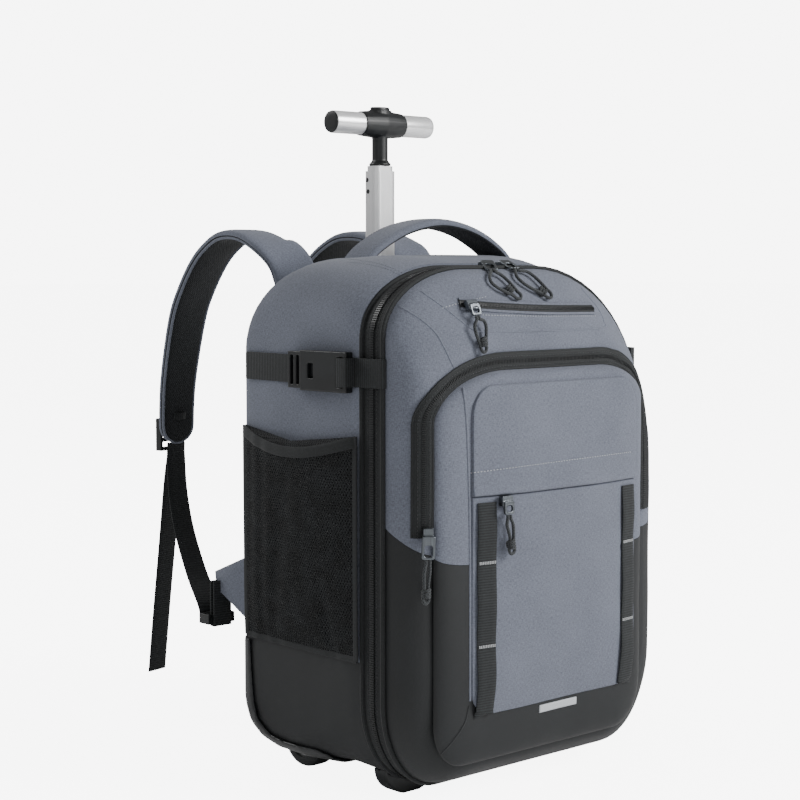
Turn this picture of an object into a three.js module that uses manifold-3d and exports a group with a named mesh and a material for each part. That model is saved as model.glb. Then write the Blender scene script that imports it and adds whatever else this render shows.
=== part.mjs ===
// Wheeled backpack with a single telescopic pole, two hidden wheels and two shoulder straps.
// Millimetres, +Z up, front towards -Y. While it is built, y = 0 is the plane of the main zip.
import * as THREE from 'three';
import { mergeVertices } from 'three/addons/utils/BufferGeometryUtils.js';
import Module from 'manifold-3d';

const wasm = await Module();
wasm.setup();

// Clearances and walls
const GAP = 0.3;
const SHELL_WALL = 5;
const FRONT_WALL = 4;
const POCKET_WALL = 3;
const BAND_WALL = 5;

// Bag body
const BAG_WIDTH = 344;
const BAG_HEIGHT = 495;
const BAG_UNDERSIDE = 22;
const REAR_DEPTH = 170;
const BACK_WALL = 20;
const ZIP_RING_WIDTH = 334;
const ZIP_RING_TOP = 482;
const ZIP_BAND_DEPTH = 29;
const ZIP_BAND_FRONT = -12;
const FRONT_DEPTH = 34;
const TOP_EDGE_DROP = 44;
const FOOT_EDGE_RISE = 60;
const LEFT_SHOULDER = { rx: 93, rz: 60 };
const RIGHT_SHOULDER = { rx: 150, rz: 150 };
const ZIP_FOOT = { rx: 62, rz: 80 };
const REAR_FOOT = { rx: 20, rz: 22 };
const BLACK_BASE_HEIGHT = 135;
const FRONT_BASE_HEIGHT = 225;
const FRONT_BASE_SLOPE = 0.71;

// Front pocket and its panel
const POCKET_WIDTH = 282;
const POCKET_TOP = 393;
const POCKET_UNDERSIDE = 44;
const POCKET_DEPTH = 11.7;
const POCKET_CROWN = 10;
const POCKET_ARCH_LEFT = { rx: 85, rz: 44 };
const POCKET_ARCH_RIGHT = { rx: 60, rz: 34 };
const POCKET_PULL = 14;
const POCKET_FOOT = { rx: 36, rz: 40 };
const PANEL_WIDTH = 216;
const PANEL_TOP = 382;
const PANEL_BOTTOM = 88;
const PANEL_CORNER = { rx: 26, rz: 26 };
const FLAP_EDGE = 284.5;
const FLAP_THICKNESS = 2.6;
const PANEL_THICKNESS = 1.6;
const POCKET_ZIP_WIDTH = 15;
const POCKET_ZIP_THICKNESS = 2.8;
const POCKET_ZIP_END = 246;

// Trims on the front
const DAISY_WIDTH = 20;
const DAISY_PITCH = 186;
const WEBBING_THICKNESS = 1.6;
const QUICK_ZIP_LENGTH = 170;
const QUICK_ZIP_WIDTH = 9;
const QUICK_ZIP_HEIGHT = 448;
const QUICK_ZIP_OFFSET = -14;
const QUICK_ZIP_TILT = 2.5;
const TRIM_HEIGHT = 2;

// Side pockets
const MESH_REAR = 178;
const MESH_FRONT = 17.8;
const MESH_BOTTOM = 137;
const MESH_TOP = 336;
const MESH_TOP_DIP = 14;
const MESH_THICKNESS = 1.5;
const MESH_BULGE = 14;

// Side compression straps with their side-release buckles
const STRAP_HEIGHT = 392;
const STRAP_WIDTH = 25.5;
const STRAP_REAR = 176;
const BUCKLE_REAR = 101;
const BUCKLE_JOIN = 82;
const BUCKLE_FRONT = 22;
const BUCKLE_HEIGHT = 36;
const BUCKLE_THICKNESS = 9;
const STRAP_FRONT = -14;

// Top carry handle
const HANDLE_SPAN = 212;
const HANDLE_CENTRE_Y = 110;
const HANDLE_WIDTH = 40;
const HANDLE_THICKNESS = 10;
const HANDLE_TOP = BAG_HEIGHT + 35;

// Back panel and shoulder straps
const BACK_PANEL_WIDTH = 286;
const BACK_PANEL_TOP = BAG_HEIGHT - 33;
const BACK_PANEL_BOTTOM = 84;
const BACK_PANEL_THICKNESS = 15;
const SHOULDER_WIDTH = 50;
const SHOULDER_SPLAY = 9;
const SHOULDER_THICKNESS = 10;
const SHOULDER_X = 80;
const SHOULDER_REACH = { left: 171, right: 186 };
const SHOULDER_END_HEIGHT = 300;
const SHOULDER_TOP_HEIGHT = 516;
const TAIL_LENGTH = 248;
const TAIL_DRIFT = 40;
const WEB_WIDTH = 25;
const WEB_THICKNESS = 1.8;
const ANCHOR_X = 150;
const ANCHOR_REACH = 70;
const HOOK_HEIGHT = 138;

// Wheels, guards and feet
const WHEEL_RADIUS = 30;
const WHEEL_WIDTH = 22;
const WHEEL_X = 118;
const WHEEL_Y = 150;
const WHEEL_CLEARANCE = 2;
const AXLE_RADIUS = 4;
const GUARD_SKIN = 3.4;
const GUARD_WALL = 4;
const GUARD_HEIGHT = 133;
const GUARD_REACH = 125;
const GUARD_RIM = 26;
const WELL_FRONT = 108;
const WELL_HEIGHT = 74;
const FOOT_WIDTH = 62;
const FOOT_THICKNESS = 18;
const FOOT_DROP = 24;
const FOOT_SOLE = 1.5;
const FOOT_X = 105;
const FOOT_Y = 29;
const GROUND = 6;

// Telescopic pole
const POLE_Y = 183;
const GRIP_HEIGHT = 624;
const POLE_WIDTH = 28;
const POLE_THICK = 20;
const TUBE_WALL = 1.4;
const STAGE_CLEARANCE = 0.3;
const SLEEVE_BOTTOM = 52;
const SLEEVE_TOP = BAG_HEIGHT - 25;
const LOWER_TUBE_LENGTH = 400;
const LOWER_TUBE_TOP = GRIP_HEIGHT - 46;
const UPPER_TUBE_LENGTH = 360;
const UPPER_TUBE_TOP = GRIP_HEIGHT - 41;
const GRIP_RADIUS = 11;
const GRIP_LENGTH = 125;
const HUB_LENGTH = 54;
// Where the grips' inner ends sit, as a share of half the hub
const GRIP_SEAT = 0.6;
const HUB_RADIUS = 14;
const NECK_RADIUS = 8;
const BUTTON_WIDTH = 22;
const BUTTON_DEPTH = 15;
const BUTTON_TOP = GRIP_HEIGHT + 17;
const BUTTON_HEIGHT = 7;
const BUTTON_STROKE = 3;

// Zip sliders and the cords on their pullers
const CORD_DIAMETER = 3;
const SLIDER = { width: 9, length: 13, height: 5 };
const PULLER = { width: 12, length: 20, thickness: 2.4, rim: 2.2 };

// Edges shorter than this are removed from cut solids
const SLIVER = 0.02;
const ARC_STEPS = 6;
const PALETTE = {
  grey: { color: 0x7b7f8c, roughness: 0.85, metalness: 0 },
  black: { color: 0x2b2f31, roughness: 0.8, metalness: 0 },
  webbing: { color: 0x2c3132, roughness: 0.75, metalness: 0 },
  mesh: { color: 0x1f2224, roughness: 0.9, metalness: 0 },
  plastic: { color: 0x24282a, roughness: 0.45, metalness: 0 },
  rubber: { color: 0x1b1c1d, roughness: 0.7, metalness: 0 },
  aluminium: { color: 0xd4d6da, roughness: 0.3, metalness: 1 },
  zip: { color: 0x5a5f64, roughness: 0.35, metalness: 0.9 },
  cord: { color: 0x1c2021, roughness: 0.8, metalness: 0 },
};

const bag = new THREE.Group();
const SIDES = [['left', -1], ['right', 1]];
const v3 = (x, y, z) => new THREE.Vector3(x, y, z);
const mix = THREE.MathUtils.lerp;

// Solid helpers

function addPart(name, geometry, finish) {
  const mesh = new THREE.Mesh(geometry, new THREE.MeshStandardMaterial(PALETTE[finish]));
  mesh.name = name;
  bag.add(mesh);
  return mesh;
}

function signedVolume(points, triangles) {
  const cross = new THREE.Vector3();
  let sum = 0;
  for (let i = 0; i < triangles.length; i += 3) {
    const [a, b, c] = [points[triangles[i]], points[triangles[i + 1]], points[triangles[i + 2]]];
    sum += a.dot(cross.crossVectors(b, c));
  }
  return sum;
}

function toGeometry(points, triangles) {
  if (signedVolume(points, triangles) < 0) {
    triangles.reverse();
  }
  const geometry = new THREE.BufferGeometry();
  geometry.setAttribute('position', new THREE.Float32BufferAttribute(points.flatMap((p) => p.toArray()), 3));
  geometry.setIndex(triangles);
  return geometry;
}

// Rings of equal count are joined in order. The ends are closed by a fan, or the last ring meets the first.
function loft(rings, closedLoop = false) {
  const count = rings[0].length;
  const points = rings.flat();
  const triangles = [];
  const bands = closedLoop ? rings.length : rings.length - 1;
  for (let r = 0; r < bands; r += 1) {
    const low = r * count;
    const high = ((r + 1) % rings.length) * count;
    for (let i = 0; i < count; i += 1) {
      const j = (i + 1) % count;
      triangles.push(low + i, low + j, high + j, low + i, high + j, high + i);
    }
  }
  if (!closedLoop) {
    closeEnd(points, triangles, 0, count, false);
    closeEnd(points, triangles, (rings.length - 1) * count, count, true);
  }
  return toGeometry(points, triangles);
}

function closeEnd(points, triangles, start, count, outward) {
  const middle = new THREE.Vector3();
  for (let i = 0; i < count; i += 1) {
    middle.add(points[start + i]);
  }
  points.push(middle.divideScalar(count));
  const pole = points.length - 1;
  for (let i = 0; i < count; i += 1) {
    const j = (i + 1) % count;
    triangles.push(...(outward ? [start + i, start + j, pole] : [start + j, start + i, pole]));
  }
}

function toManifold(geometry) {
  const bare = geometry.clone();
  bare.deleteAttribute('normal');
  bare.deleteAttribute('uv');
  const welded = mergeVertices(bare, 1e-4);
  return new wasm.Manifold(new wasm.Mesh({
    numProp: 3,
    vertProperties: new Float32Array(welded.attributes.position.array),
    triVerts: new Uint32Array(welded.index.array),
  }));
}

function fromManifold(solid) {
  const mesh = solid.simplify(SLIVER).getMesh();
  const geometry = new THREE.BufferGeometry();
  geometry.setAttribute('position', new THREE.Float32BufferAttribute(mesh.vertProperties, 3));
  geometry.setIndex(Array.from(mesh.triVerts));
  return geometry;
}

function blockGeometry(x, y, z) {
  const geometry = new THREE.BoxGeometry(x[1] - x[0], y[1] - y[0], z[1] - z[0]);
  geometry.translate((x[0] + x[1]) / 2, (y[0] + y[1]) / 2, (z[0] + z[1]) / 2);
  return geometry;
}

const block = (x, y, z) => toManifold(blockGeometry(x, y, z));
const sideRange = (side, low, high) => [low * side, high * side].sort((a, b) => a - b);

// A rounded rectangle as a shape, for extrusions
function roundedShape(width, height, radius) {
  const shape = new THREE.Shape();
  const [w, h] = [width / 2, height / 2];
  shape.moveTo(-w + radius, -h);
  shape.lineTo(w - radius, -h);
  shape.absarc(w - radius, -h + radius, radius, -Math.PI / 2, 0);
  shape.lineTo(w, h - radius);
  shape.absarc(w - radius, h - radius, radius, 0, Math.PI / 2);
  shape.lineTo(-w + radius, h);
  shape.absarc(-w + radius, h - radius, radius, Math.PI / 2, Math.PI);
  shape.lineTo(-w, -h + radius);
  shape.absarc(-w + radius, -h + radius, radius, Math.PI, 1.5 * Math.PI);
  return shape;
}

function cylinderAlongX(radius, from, to, y, z, steps = 18) {
  const geometry = new THREE.CylinderGeometry(radius, radius, to - from, steps);
  geometry.rotateZ(Math.PI / 2);
  geometry.translate((from + to) / 2, y, z);
  return geometry;
}

// Front-view outlines

function cornerArc(list, cx, cz, rx, rz, startTurn) {
  for (let i = 0; i <= ARC_STEPS; i += 1) {
    const turn = startTurn - (i / ARC_STEPS) * (Math.PI / 2);
    list.push([cx + rx * Math.cos(turn), cz + rz * Math.sin(turn)]);
  }
}

// A closed outline in x and z, clockwise from the left side: two shoulders, then two foot corners
function outline({ half, low, high, left, right, foot, pull = 0 }) {
  const list = [];
  const rightHalf = half - pull;
  cornerArc(list, -half + left.rx, high - left.rz, left.rx, left.rz, Math.PI);
  cornerArc(list, rightHalf - right.rx, high - right.rz, right.rx, right.rz, Math.PI / 2);
  cornerArc(list, rightHalf - foot.rx, low + foot.rz, foot.rx, foot.rz, 0);
  cornerArc(list, -half + foot.rx, low + foot.rz, foot.rx, foot.rz, -Math.PI / 2);
  return list;
}

const ringAt = (list, y) => list.map(([x, z]) => v3(x, y, z));
const grown = (corner, by) => ({ rx: corner.rx + by, rz: corner.rz + by });
const between = (a, b, t) => ({ rx: mix(a.rx, b.rx, t), rz: mix(a.rz, b.rz, t) });

function grownOutline(form, by) {
  return outline({
    half: form.half + by,
    low: form.low - by,
    high: form.high + by,
    left: grown(form.left, by),
    right: grown(form.right, by),
    foot: grown(form.foot, by),
    pull: form.pull,
  });
}

// Body sections. depth, width, drop, rise, sag and square are shares of REAR_DEPTH, BAG_WIDTH, TOP_EDGE_DROP,
// FOOT_EDGE_RISE and the steps from LEFT_SHOULDER to RIGHT_SHOULDER and from ZIP_FOOT to REAR_FOOT.
const REAR_SECTIONS = [
  { depth: 0.0, width: 0.984, drop: 0.18, rise: 0.03, sag: 1.0, square: 0.1 },
  { depth: 0.08, width: 0.997, drop: 0.09, rise: 0.1, sag: 0.92, square: 0.3 },
  { depth: 0.25, width: 1.0, drop: 0.02, rise: 0.2, sag: 0.66, square: 0.7 },
  { depth: 0.5, width: 1.0, drop: 0.0, rise: 0.2, sag: 0.22, square: 1.0 },
  { depth: 0.73, width: 1.0, drop: 0.05, rise: 0.2, sag: 0.0, square: 1.0 },
  { depth: 0.85, width: 1.0, drop: 0.16, rise: 0.27, sag: 0.0, square: 1.0 },
  { depth: 0.925, width: 0.994, drop: 0.34, rise: 0.38, sag: 0.0, square: 1.0 },
  { depth: 0.97, width: 0.982, drop: 0.61, rise: 0.56, sag: 0.0, square: 1.0 },
  { depth: 1.0, width: 0.954, drop: 1.0, rise: 0.86, sag: 0.0, square: 1.0 },
];
const ZIP_BAND_REAR = ZIP_BAND_FRONT + ZIP_BAND_DEPTH;
const REAR_START = ZIP_BAND_REAR + GAP;
const BACK_FACE = REAR_START + REAR_DEPTH;

function rearForm(section) {
  return {
    y: REAR_START + section.depth * REAR_DEPTH,
    half: section.width * BAG_WIDTH / 2,
    low: BAG_UNDERSIDE + section.rise * FOOT_EDGE_RISE,
    high: BAG_HEIGHT - section.drop * TOP_EDGE_DROP,
    left: LEFT_SHOULDER,
    right: between(LEFT_SHOULDER, RIGHT_SHOULDER, section.sag),
    foot: between(ZIP_FOOT, REAR_FOOT, section.square),
  };
}

const REAR_FORMS = REAR_SECTIONS.map(rearForm);

function rearSolid(grow) {
  const rings = REAR_FORMS.map((form) => ringAt(grownOutline(form, grow), form.y));
  const first = REAR_FORMS[0];
  const last = REAR_FORMS[REAR_FORMS.length - 1];
  rings.unshift(ringAt(grownOutline(first, grow), first.y - grow));
  rings.push(ringAt(grownOutline(last, grow * 0.5), last.y + grow));
  return toManifold(loft(rings));
}

// Front sections: depth in FRONT_DEPTH, width in ZIP_RING_WIDTH, drop in FRONT_TOP_DROP, rise in FRONT_RISE
const FRONT_TOP_DROP = 54;
const FRONT_RISE = 26;
const FRONT_SECTIONS = [
  { depth: 0.0, width: 0.994, drop: 0.0, rise: 0.0 },
  { depth: 0.2, width: 0.988, drop: 0.06, rise: 0.04 },
  { depth: 0.46, width: 0.967, drop: 0.25, rise: 0.16 },
  { depth: 0.7, width: 0.934, drop: 0.49, rise: 0.35 },
  { depth: 0.9, width: 0.88, drop: 0.74, rise: 0.62 },
  { depth: 1.0, width: 0.814, drop: 1.0, rise: 1.0 },
];
const FRONT_START = ZIP_BAND_FRONT - GAP;
const FRONT_FACE = FRONT_START - FRONT_DEPTH;

function frontForm(section) {
  return {
    y: FRONT_START - section.depth * FRONT_DEPTH,
    half: section.width * ZIP_RING_WIDTH / 2,
    low: BAG_UNDERSIDE + section.rise * FRONT_RISE,
    high: ZIP_RING_TOP - section.drop * FRONT_TOP_DROP,
    left: LEFT_SHOULDER,
    right: RIGHT_SHOULDER,
    foot: ZIP_FOOT,
  };
}

const FRONT_FORMS = FRONT_SECTIONS.map(frontForm);

function frontSolid(grow) {
  const rings = FRONT_FORMS.map((form) => ringAt(grownOutline(form, grow), form.y));
  const last = FRONT_FORMS[FRONT_FORMS.length - 1];
  rings.push(ringAt(grownOutline(last, grow * 0.5), last.y - grow));
  return toManifold(loft(rings));
}

// The zip band between the two halves bulges a little along its middle
const ZIP_BULGE = 1;
const ZIP_FORMS = [[0, 0], [0.5, ZIP_BULGE], [1, 0]].map(([along, bulge]) => ({
  y: mix(ZIP_BAND_FRONT, ZIP_BAND_REAR, along),
  half: ZIP_RING_WIDTH / 2 + bulge,
  low: BAG_UNDERSIDE - bulge,
  high: ZIP_RING_TOP + bulge,
  left: grown(LEFT_SHOULDER, bulge),
  right: grown(RIGHT_SHOULDER, bulge),
  foot: grown(ZIP_FOOT, bulge),
}));

function zipSolid(grow) {
  const rings = ZIP_FORMS.map((form) => ringAt(grownOutline(form, grow), form.y));
  return toManifold(loft(rings));
}

// A tub: outer rings from the rim to the closed end, then inner rings back to the rim
function tub(outerRings, innerRings) {
  const wall = [...outerRings].reverse().concat(innerRings);
  return loft(wall);
}

// Front pocket: roll 1 at its rim and 0 at the panel edge, then crowned rings inside the panel
const POCKET_ROLL = [1, 0.97, 0.88, 0.72, 0.5, 0.25, 0];
const POCKET_CROWN_RINGS = [0.8, 0.55, 0.25];
const POCKET_START = FRONT_FACE - GAP;
const PANEL_PLANE = POCKET_START - POCKET_DEPTH;

function pocketForm(roll) {
  return {
    y: PANEL_PLANE + POCKET_DEPTH * (1 - Math.sqrt(1 - roll * roll)),
    half: mix(PANEL_WIDTH, POCKET_WIDTH, roll) / 2,
    low: mix(PANEL_BOTTOM, POCKET_UNDERSIDE, roll),
    high: mix(PANEL_TOP, POCKET_TOP, roll),
    left: between(PANEL_CORNER, POCKET_ARCH_LEFT, roll),
    right: between(PANEL_CORNER, POCKET_ARCH_RIGHT, roll),
    foot: between(PANEL_CORNER, POCKET_FOOT, roll),
    pull: POCKET_PULL * roll,
  };
}

function crownRings(lift) {
  const edge = pocketForm(0);
  const middle = (edge.low + edge.high) / 2;
  return POCKET_CROWN_RINGS.map((share) => {
    const list = outline(edge).map(([x, z]) => [x * share, middle + (z - middle) * share]);
    return ringAt(list, edge.y - POCKET_CROWN * (1 - share * share) - lift);
  });
}

function pocketRings(grow) {
  const rings = POCKET_ROLL.map((roll) => {
    const form = pocketForm(roll);
    return ringAt(grownOutline(form, grow * Math.sqrt(roll)), form.y - grow * Math.sqrt(1 - roll));
  });
  return rings.concat(crownRings(grow));
}

function pocketSolid(grow) {
  return toManifold(loft(pocketRings(grow)));
}

// A layer lying on a body: the body grown by lift and thickness, less the body grown by lift, in a region
function layer(body, lift, thickness, region) {
  return body(lift + thickness).intersect(region).subtract(body(lift));
}

// Soft body pieces

function makeRearShell() {
  const outer = REAR_FORMS.map((form) => ringAt(grownOutline(form, 0), form.y));
  const cavityEnd = BACK_FACE - BACK_WALL;
  const innerForms = REAR_FORMS.filter((form) => form.y < cavityEnd);
  const inner = innerForms.map((form) => ringAt(grownOutline(form, -SHELL_WALL), form.y));
  const deepest = innerForms[innerForms.length - 1];
  inner.push(ringAt(grownOutline(deepest, -SHELL_WALL - 2), cavityEnd));
  const slot = block(
    [-SLEEVE_HALF_WIDTH - GAP, SLEEVE_HALF_WIDTH + GAP],
    [POLE_Y - SLEEVE_HALF_DEPTH - GAP, BACK_FACE + BACK_WALL],
    [SLEEVE_BOTTOM - GAP, BAG_HEIGHT + BACK_WALL],
  );
  let shell = toManifold(tub(outer, inner)).subtract(slot);
  for (const [, side] of SIDES) {
    shell = shell.subtract(wheelWell(side, GAP));
  }
  const far = BAG_WIDTH;
  const upper = block([-far, far], [-far, far], [BLACK_BASE_HEIGHT + GAP / 2, BAG_HEIGHT + far]);
  const lower = block([-far, far], [-far, far], [-far, BLACK_BASE_HEIGHT - GAP / 2]);
  addPart('rear_shell', fromManifold(shell.intersect(upper)), 'grey');
  addPart('rear_base', fromManifold(shell.intersect(lower)), 'black');
}

function makeZipBand() {
  const rings = [...ZIP_FORMS].reverse().map((form) => ringAt(grownOutline(form, 0), form.y));
  rings.push(ringAt(grownOutline(ZIP_FORMS[0], -BAND_WALL), ZIP_BAND_FRONT));
  rings.push(ringAt(grownOutline(ZIP_FORMS[2], -BAND_WALL), ZIP_BAND_REAR));
  addPart('main_zip_band', loft(rings, true), 'webbing');
}

// The grey cloth ends on a plane that drops towards the front
function frontBaseCut(above) {
  const far = BAG_WIDTH;
  const level = (y) => FRONT_BASE_HEIGHT + FRONT_BASE_SLOPE * (y - PANEL_PLANE);
  const shift = above ? GAP / 2 : -GAP / 2;
  const end = above ? BAG_HEIGHT + far : -far;
  const profile = [-far, far / 4].map((y) => [y, level(y) + shift]);
  const corners = [profile[0], profile[1], [far / 4, end], [-far, end]];
  const rings = [-far, far].map((x) => corners.map(([y, z]) => v3(x, y, z)));
  return toManifold(loft(rings));
}

function makeFrontShell() {
  const outer = FRONT_FORMS.map((form) => ringAt(grownOutline(form, 0), form.y));
  const innerForms = FRONT_FORMS.slice(0, 4);
  const inner = innerForms.map((form) => ringAt(grownOutline(form, -FRONT_WALL), form.y));
  const deepest = innerForms[innerForms.length - 1];
  inner.push(ringAt(grownOutline(deepest, -FRONT_WALL * 4), FRONT_FACE + FRONT_WALL));
  const shell = toManifold(tub(outer, inner));
  addPart('front_shell', fromManifold(shell.intersect(frontBaseCut(true))), 'grey');
  addPart('front_base', fromManifold(shell.intersect(frontBaseCut(false))), 'black');
}

function makePocketShell() {
  const outer = pocketRings(0);
  const inner = [
    ringAt(grownOutline(pocketForm(1), -POCKET_WALL), POCKET_START),
    ringAt(grownOutline(pocketForm(0.8), -POCKET_WALL), POCKET_START - POCKET_WALL),
    ringAt(grownOutline(pocketForm(0), -POCKET_WALL), PANEL_PLANE + POCKET_WALL),
  ];
  const shell = toManifold(tub(outer, inner.concat(crownRings(-POCKET_WALL))));
  addPart('pocket_shell', fromManifold(shell.intersect(frontBaseCut(true))), 'grey');
  addPart('pocket_base', fromManifold(shell.intersect(frontBaseCut(false))), 'black');
}

function makePocketZip() {
  const rim = pocketForm(1);
  const innerList = grownOutline(rim, GAP * 2);
  const outerList = grownOutline(rim, POCKET_ZIP_WIDTH);
  const faceY = FRONT_FACE - POCKET_ZIP_THICKNESS;
  const back = FRONT_FACE + POCKET_ZIP_WIDTH;
  const front = outerList.map(([x, z], i) => {
    const sideways = Math.abs(x - innerList[i][0]) / POCKET_ZIP_WIDTH;
    return v3(x, faceY + Math.min(1, sideways) * POCKET_ZIP_WIDTH * 0.55, z);
  });
  const rings = [
    ringAt(innerList, faceY),
    front,
    ringAt(outerList, back),
    ringAt(innerList, back),
  ];
  const arch = toManifold(loft(rings, true));
  const region = block([-BAG_WIDTH, BAG_WIDTH], [-BAG_WIDTH, BAG_WIDTH], [POCKET_ZIP_END, BAG_HEIGHT]);
  const seated = arch.intersect(region).subtract(frontSolid(GAP)).subtract(pocketSolid(GAP));
  addPart('pocket_zip_band', fromManifold(seated), 'webbing');
}

function makeFrontPanels() {
  const half = PANEL_WIDTH / 2 - 1;
  const reach = [PANEL_PLANE - POCKET_CROWN * 3, PANEL_PLANE + GAP];
  const upperRegion = block([-half, half], reach, [FLAP_EDGE, PANEL_TOP - 1]);
  const flap = layer(pocketSolid, GAP, FLAP_THICKNESS, upperRegion);
  const lowerRegion = block([-half, half], reach, [PANEL_BOTTOM + 1, FLAP_EDGE - GAP]);
  const lower = layer(pocketSolid, GAP, PANEL_THICKNESS, lowerRegion);
  addPart('front_flap', fromManifold(flap), 'grey');
  addPart('front_panel', fromManifold(lower), 'grey');
  const lift = PANEL_THICKNESS + 2 * GAP;
  for (const [name, side] of SIDES) {
    const middle = side * DAISY_PITCH / 2;
    const across = [middle - DAISY_WIDTH / 2, middle + DAISY_WIDTH / 2];
    const region = block(across, reach, [PANEL_BOTTOM + 8, FLAP_EDGE - GAP]);
    const webbing = layer(pocketSolid, lift, WEBBING_THICKNESS, region);
    addPart(`daisy_webbing_${name}`, fromManifold(webbing), 'webbing');
  }
}

// The zip lies in the slope of the front's top edge and drops a little to the right
function makeQuickZip() {
  const slope = frontSlopeAt(QUICK_ZIP_HEIGHT);
  const strip = new THREE.BoxGeometry(QUICK_ZIP_LENGTH, QUICK_ZIP_WIDTH, QUICK_ZIP_WIDTH);
  strip.rotateX(slope.lean);
  strip.rotateY(THREE.MathUtils.degToRad(QUICK_ZIP_TILT));
  strip.translate(QUICK_ZIP_OFFSET, slope.y, QUICK_ZIP_HEIGHT);
  const tape = layer(frontSolid, GAP, TRIM_HEIGHT, toManifold(strip));
  addPart('quick_pocket_zip', fromManifold(tape), 'webbing');
}

// Where the front's middle is at a height, and how far its surface leans back there
function frontSlopeAt(z) {
  const after = FRONT_FORMS.findIndex((form) => form.high <= z);
  const [upper, lower] = [FRONT_FORMS[after - 1], FRONT_FORMS[after]];
  return {
    y: mix(lower.y, upper.y, (z - lower.high) / (upper.high - lower.high)),
    lean: Math.atan2(upper.high - lower.high, upper.y - lower.y),
  };
}

// Side pocket: a bulging sheet with a dipped top edge
const MESH_COLUMNS = 14;
const MESH_LEVELS = [
  { height: 0.0, bulge: 0.0 },
  { height: 0.08, bulge: 0.42 },
  { height: 0.25, bulge: 0.66 },
  { height: 0.5, bulge: 0.8 },
  { height: 0.75, bulge: 0.92 },
  { height: 1.0, bulge: 1.0 },
];

function makeMeshPocket(name, side) {
  const rings = MESH_LEVELS.map((level) => {
    const outer = [];
    const inner = [];
    for (let i = 0; i <= MESH_COLUMNS; i += 1) {
      const along = i / MESH_COLUMNS;
      const y = mix(MESH_FRONT, MESH_REAR, along);
      const arch = Math.pow(Math.sin(Math.PI * along), 0.6);
      const top = MESH_TOP - MESH_TOP_DIP * Math.sin(Math.PI * along);
      const z = mix(MESH_BOTTOM, top, level.height);
      const foot = BAG_WIDTH / 2 + GAP + 0.2;
      const out = foot + MESH_THICKNESS + MESH_BULGE * level.bulge * arch;
      outer.push(v3(side * out, y, z));
      inner.unshift(v3(side * (out - MESH_THICKNESS), y, z));
    }
    return outer.concat(inner);
  });
  const pocket = toManifold(loft(rings)).subtract(rearSolid(GAP));
  addPart(`mesh_pocket_${name}`, fromManifold(pocket), 'mesh');
}

// Side compression strap

const SEAT = GAP + 0.2;
const BODY_FORMS = [...FRONT_FORMS].reverse().concat(ZIP_FORMS, REAR_FORMS);

// The body's half-width at the strap's height, at a place from front to back
function sideReach(side, y) {
  const reach = (form) => {
    const corner = side < 0 ? form.left : form.right;
    const over = Math.max(0, STRAP_HEIGHT - form.high + corner.rz) / corner.rz;
    return form.half - corner.rx * (1 - Math.sqrt(Math.max(0, 1 - over * over)));
  };
  const after = BODY_FORMS.findIndex((form) => form.y >= y);
  const [a, b] = [BODY_FORMS[after - 1], BODY_FORMS[after]];
  return mix(reach(a), reach(b), (y - a.y) / (b.y - a.y));
}

// The taut strap bridges the body's curve on a straight line, clear of the body everywhere
function strapLine(side) {
  const front = sideReach(side, STRAP_FRONT);
  const slope = (sideReach(side, BUCKLE_REAR) - front) / (BUCKLE_REAR - STRAP_FRONT);
  const level = (y) => front + slope * (y - STRAP_FRONT);
  let lift = 0;
  for (const form of BODY_FORMS.filter((f) => f.y > STRAP_FRONT && f.y < BUCKLE_REAR)) {
    lift = Math.max(lift, sideReach(side, form.y) - level(form.y));
  }
  return { slope, at: (y) => level(y) + lift + SEAT };
}

function webStrip(side, stops) {
  const [low, high] = [STRAP_HEIGHT - STRAP_WIDTH / 2, STRAP_HEIGHT + STRAP_WIDTH / 2];
  const rings = stops.map(([y, x]) => [
    v3(side * x, y, low),
    v3(side * (x + WEBBING_THICKNESS), y, low),
    v3(side * (x + WEBBING_THICKNESS), y, high),
    v3(side * x, y, high),
  ]);
  return toManifold(loft(rings));
}

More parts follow.
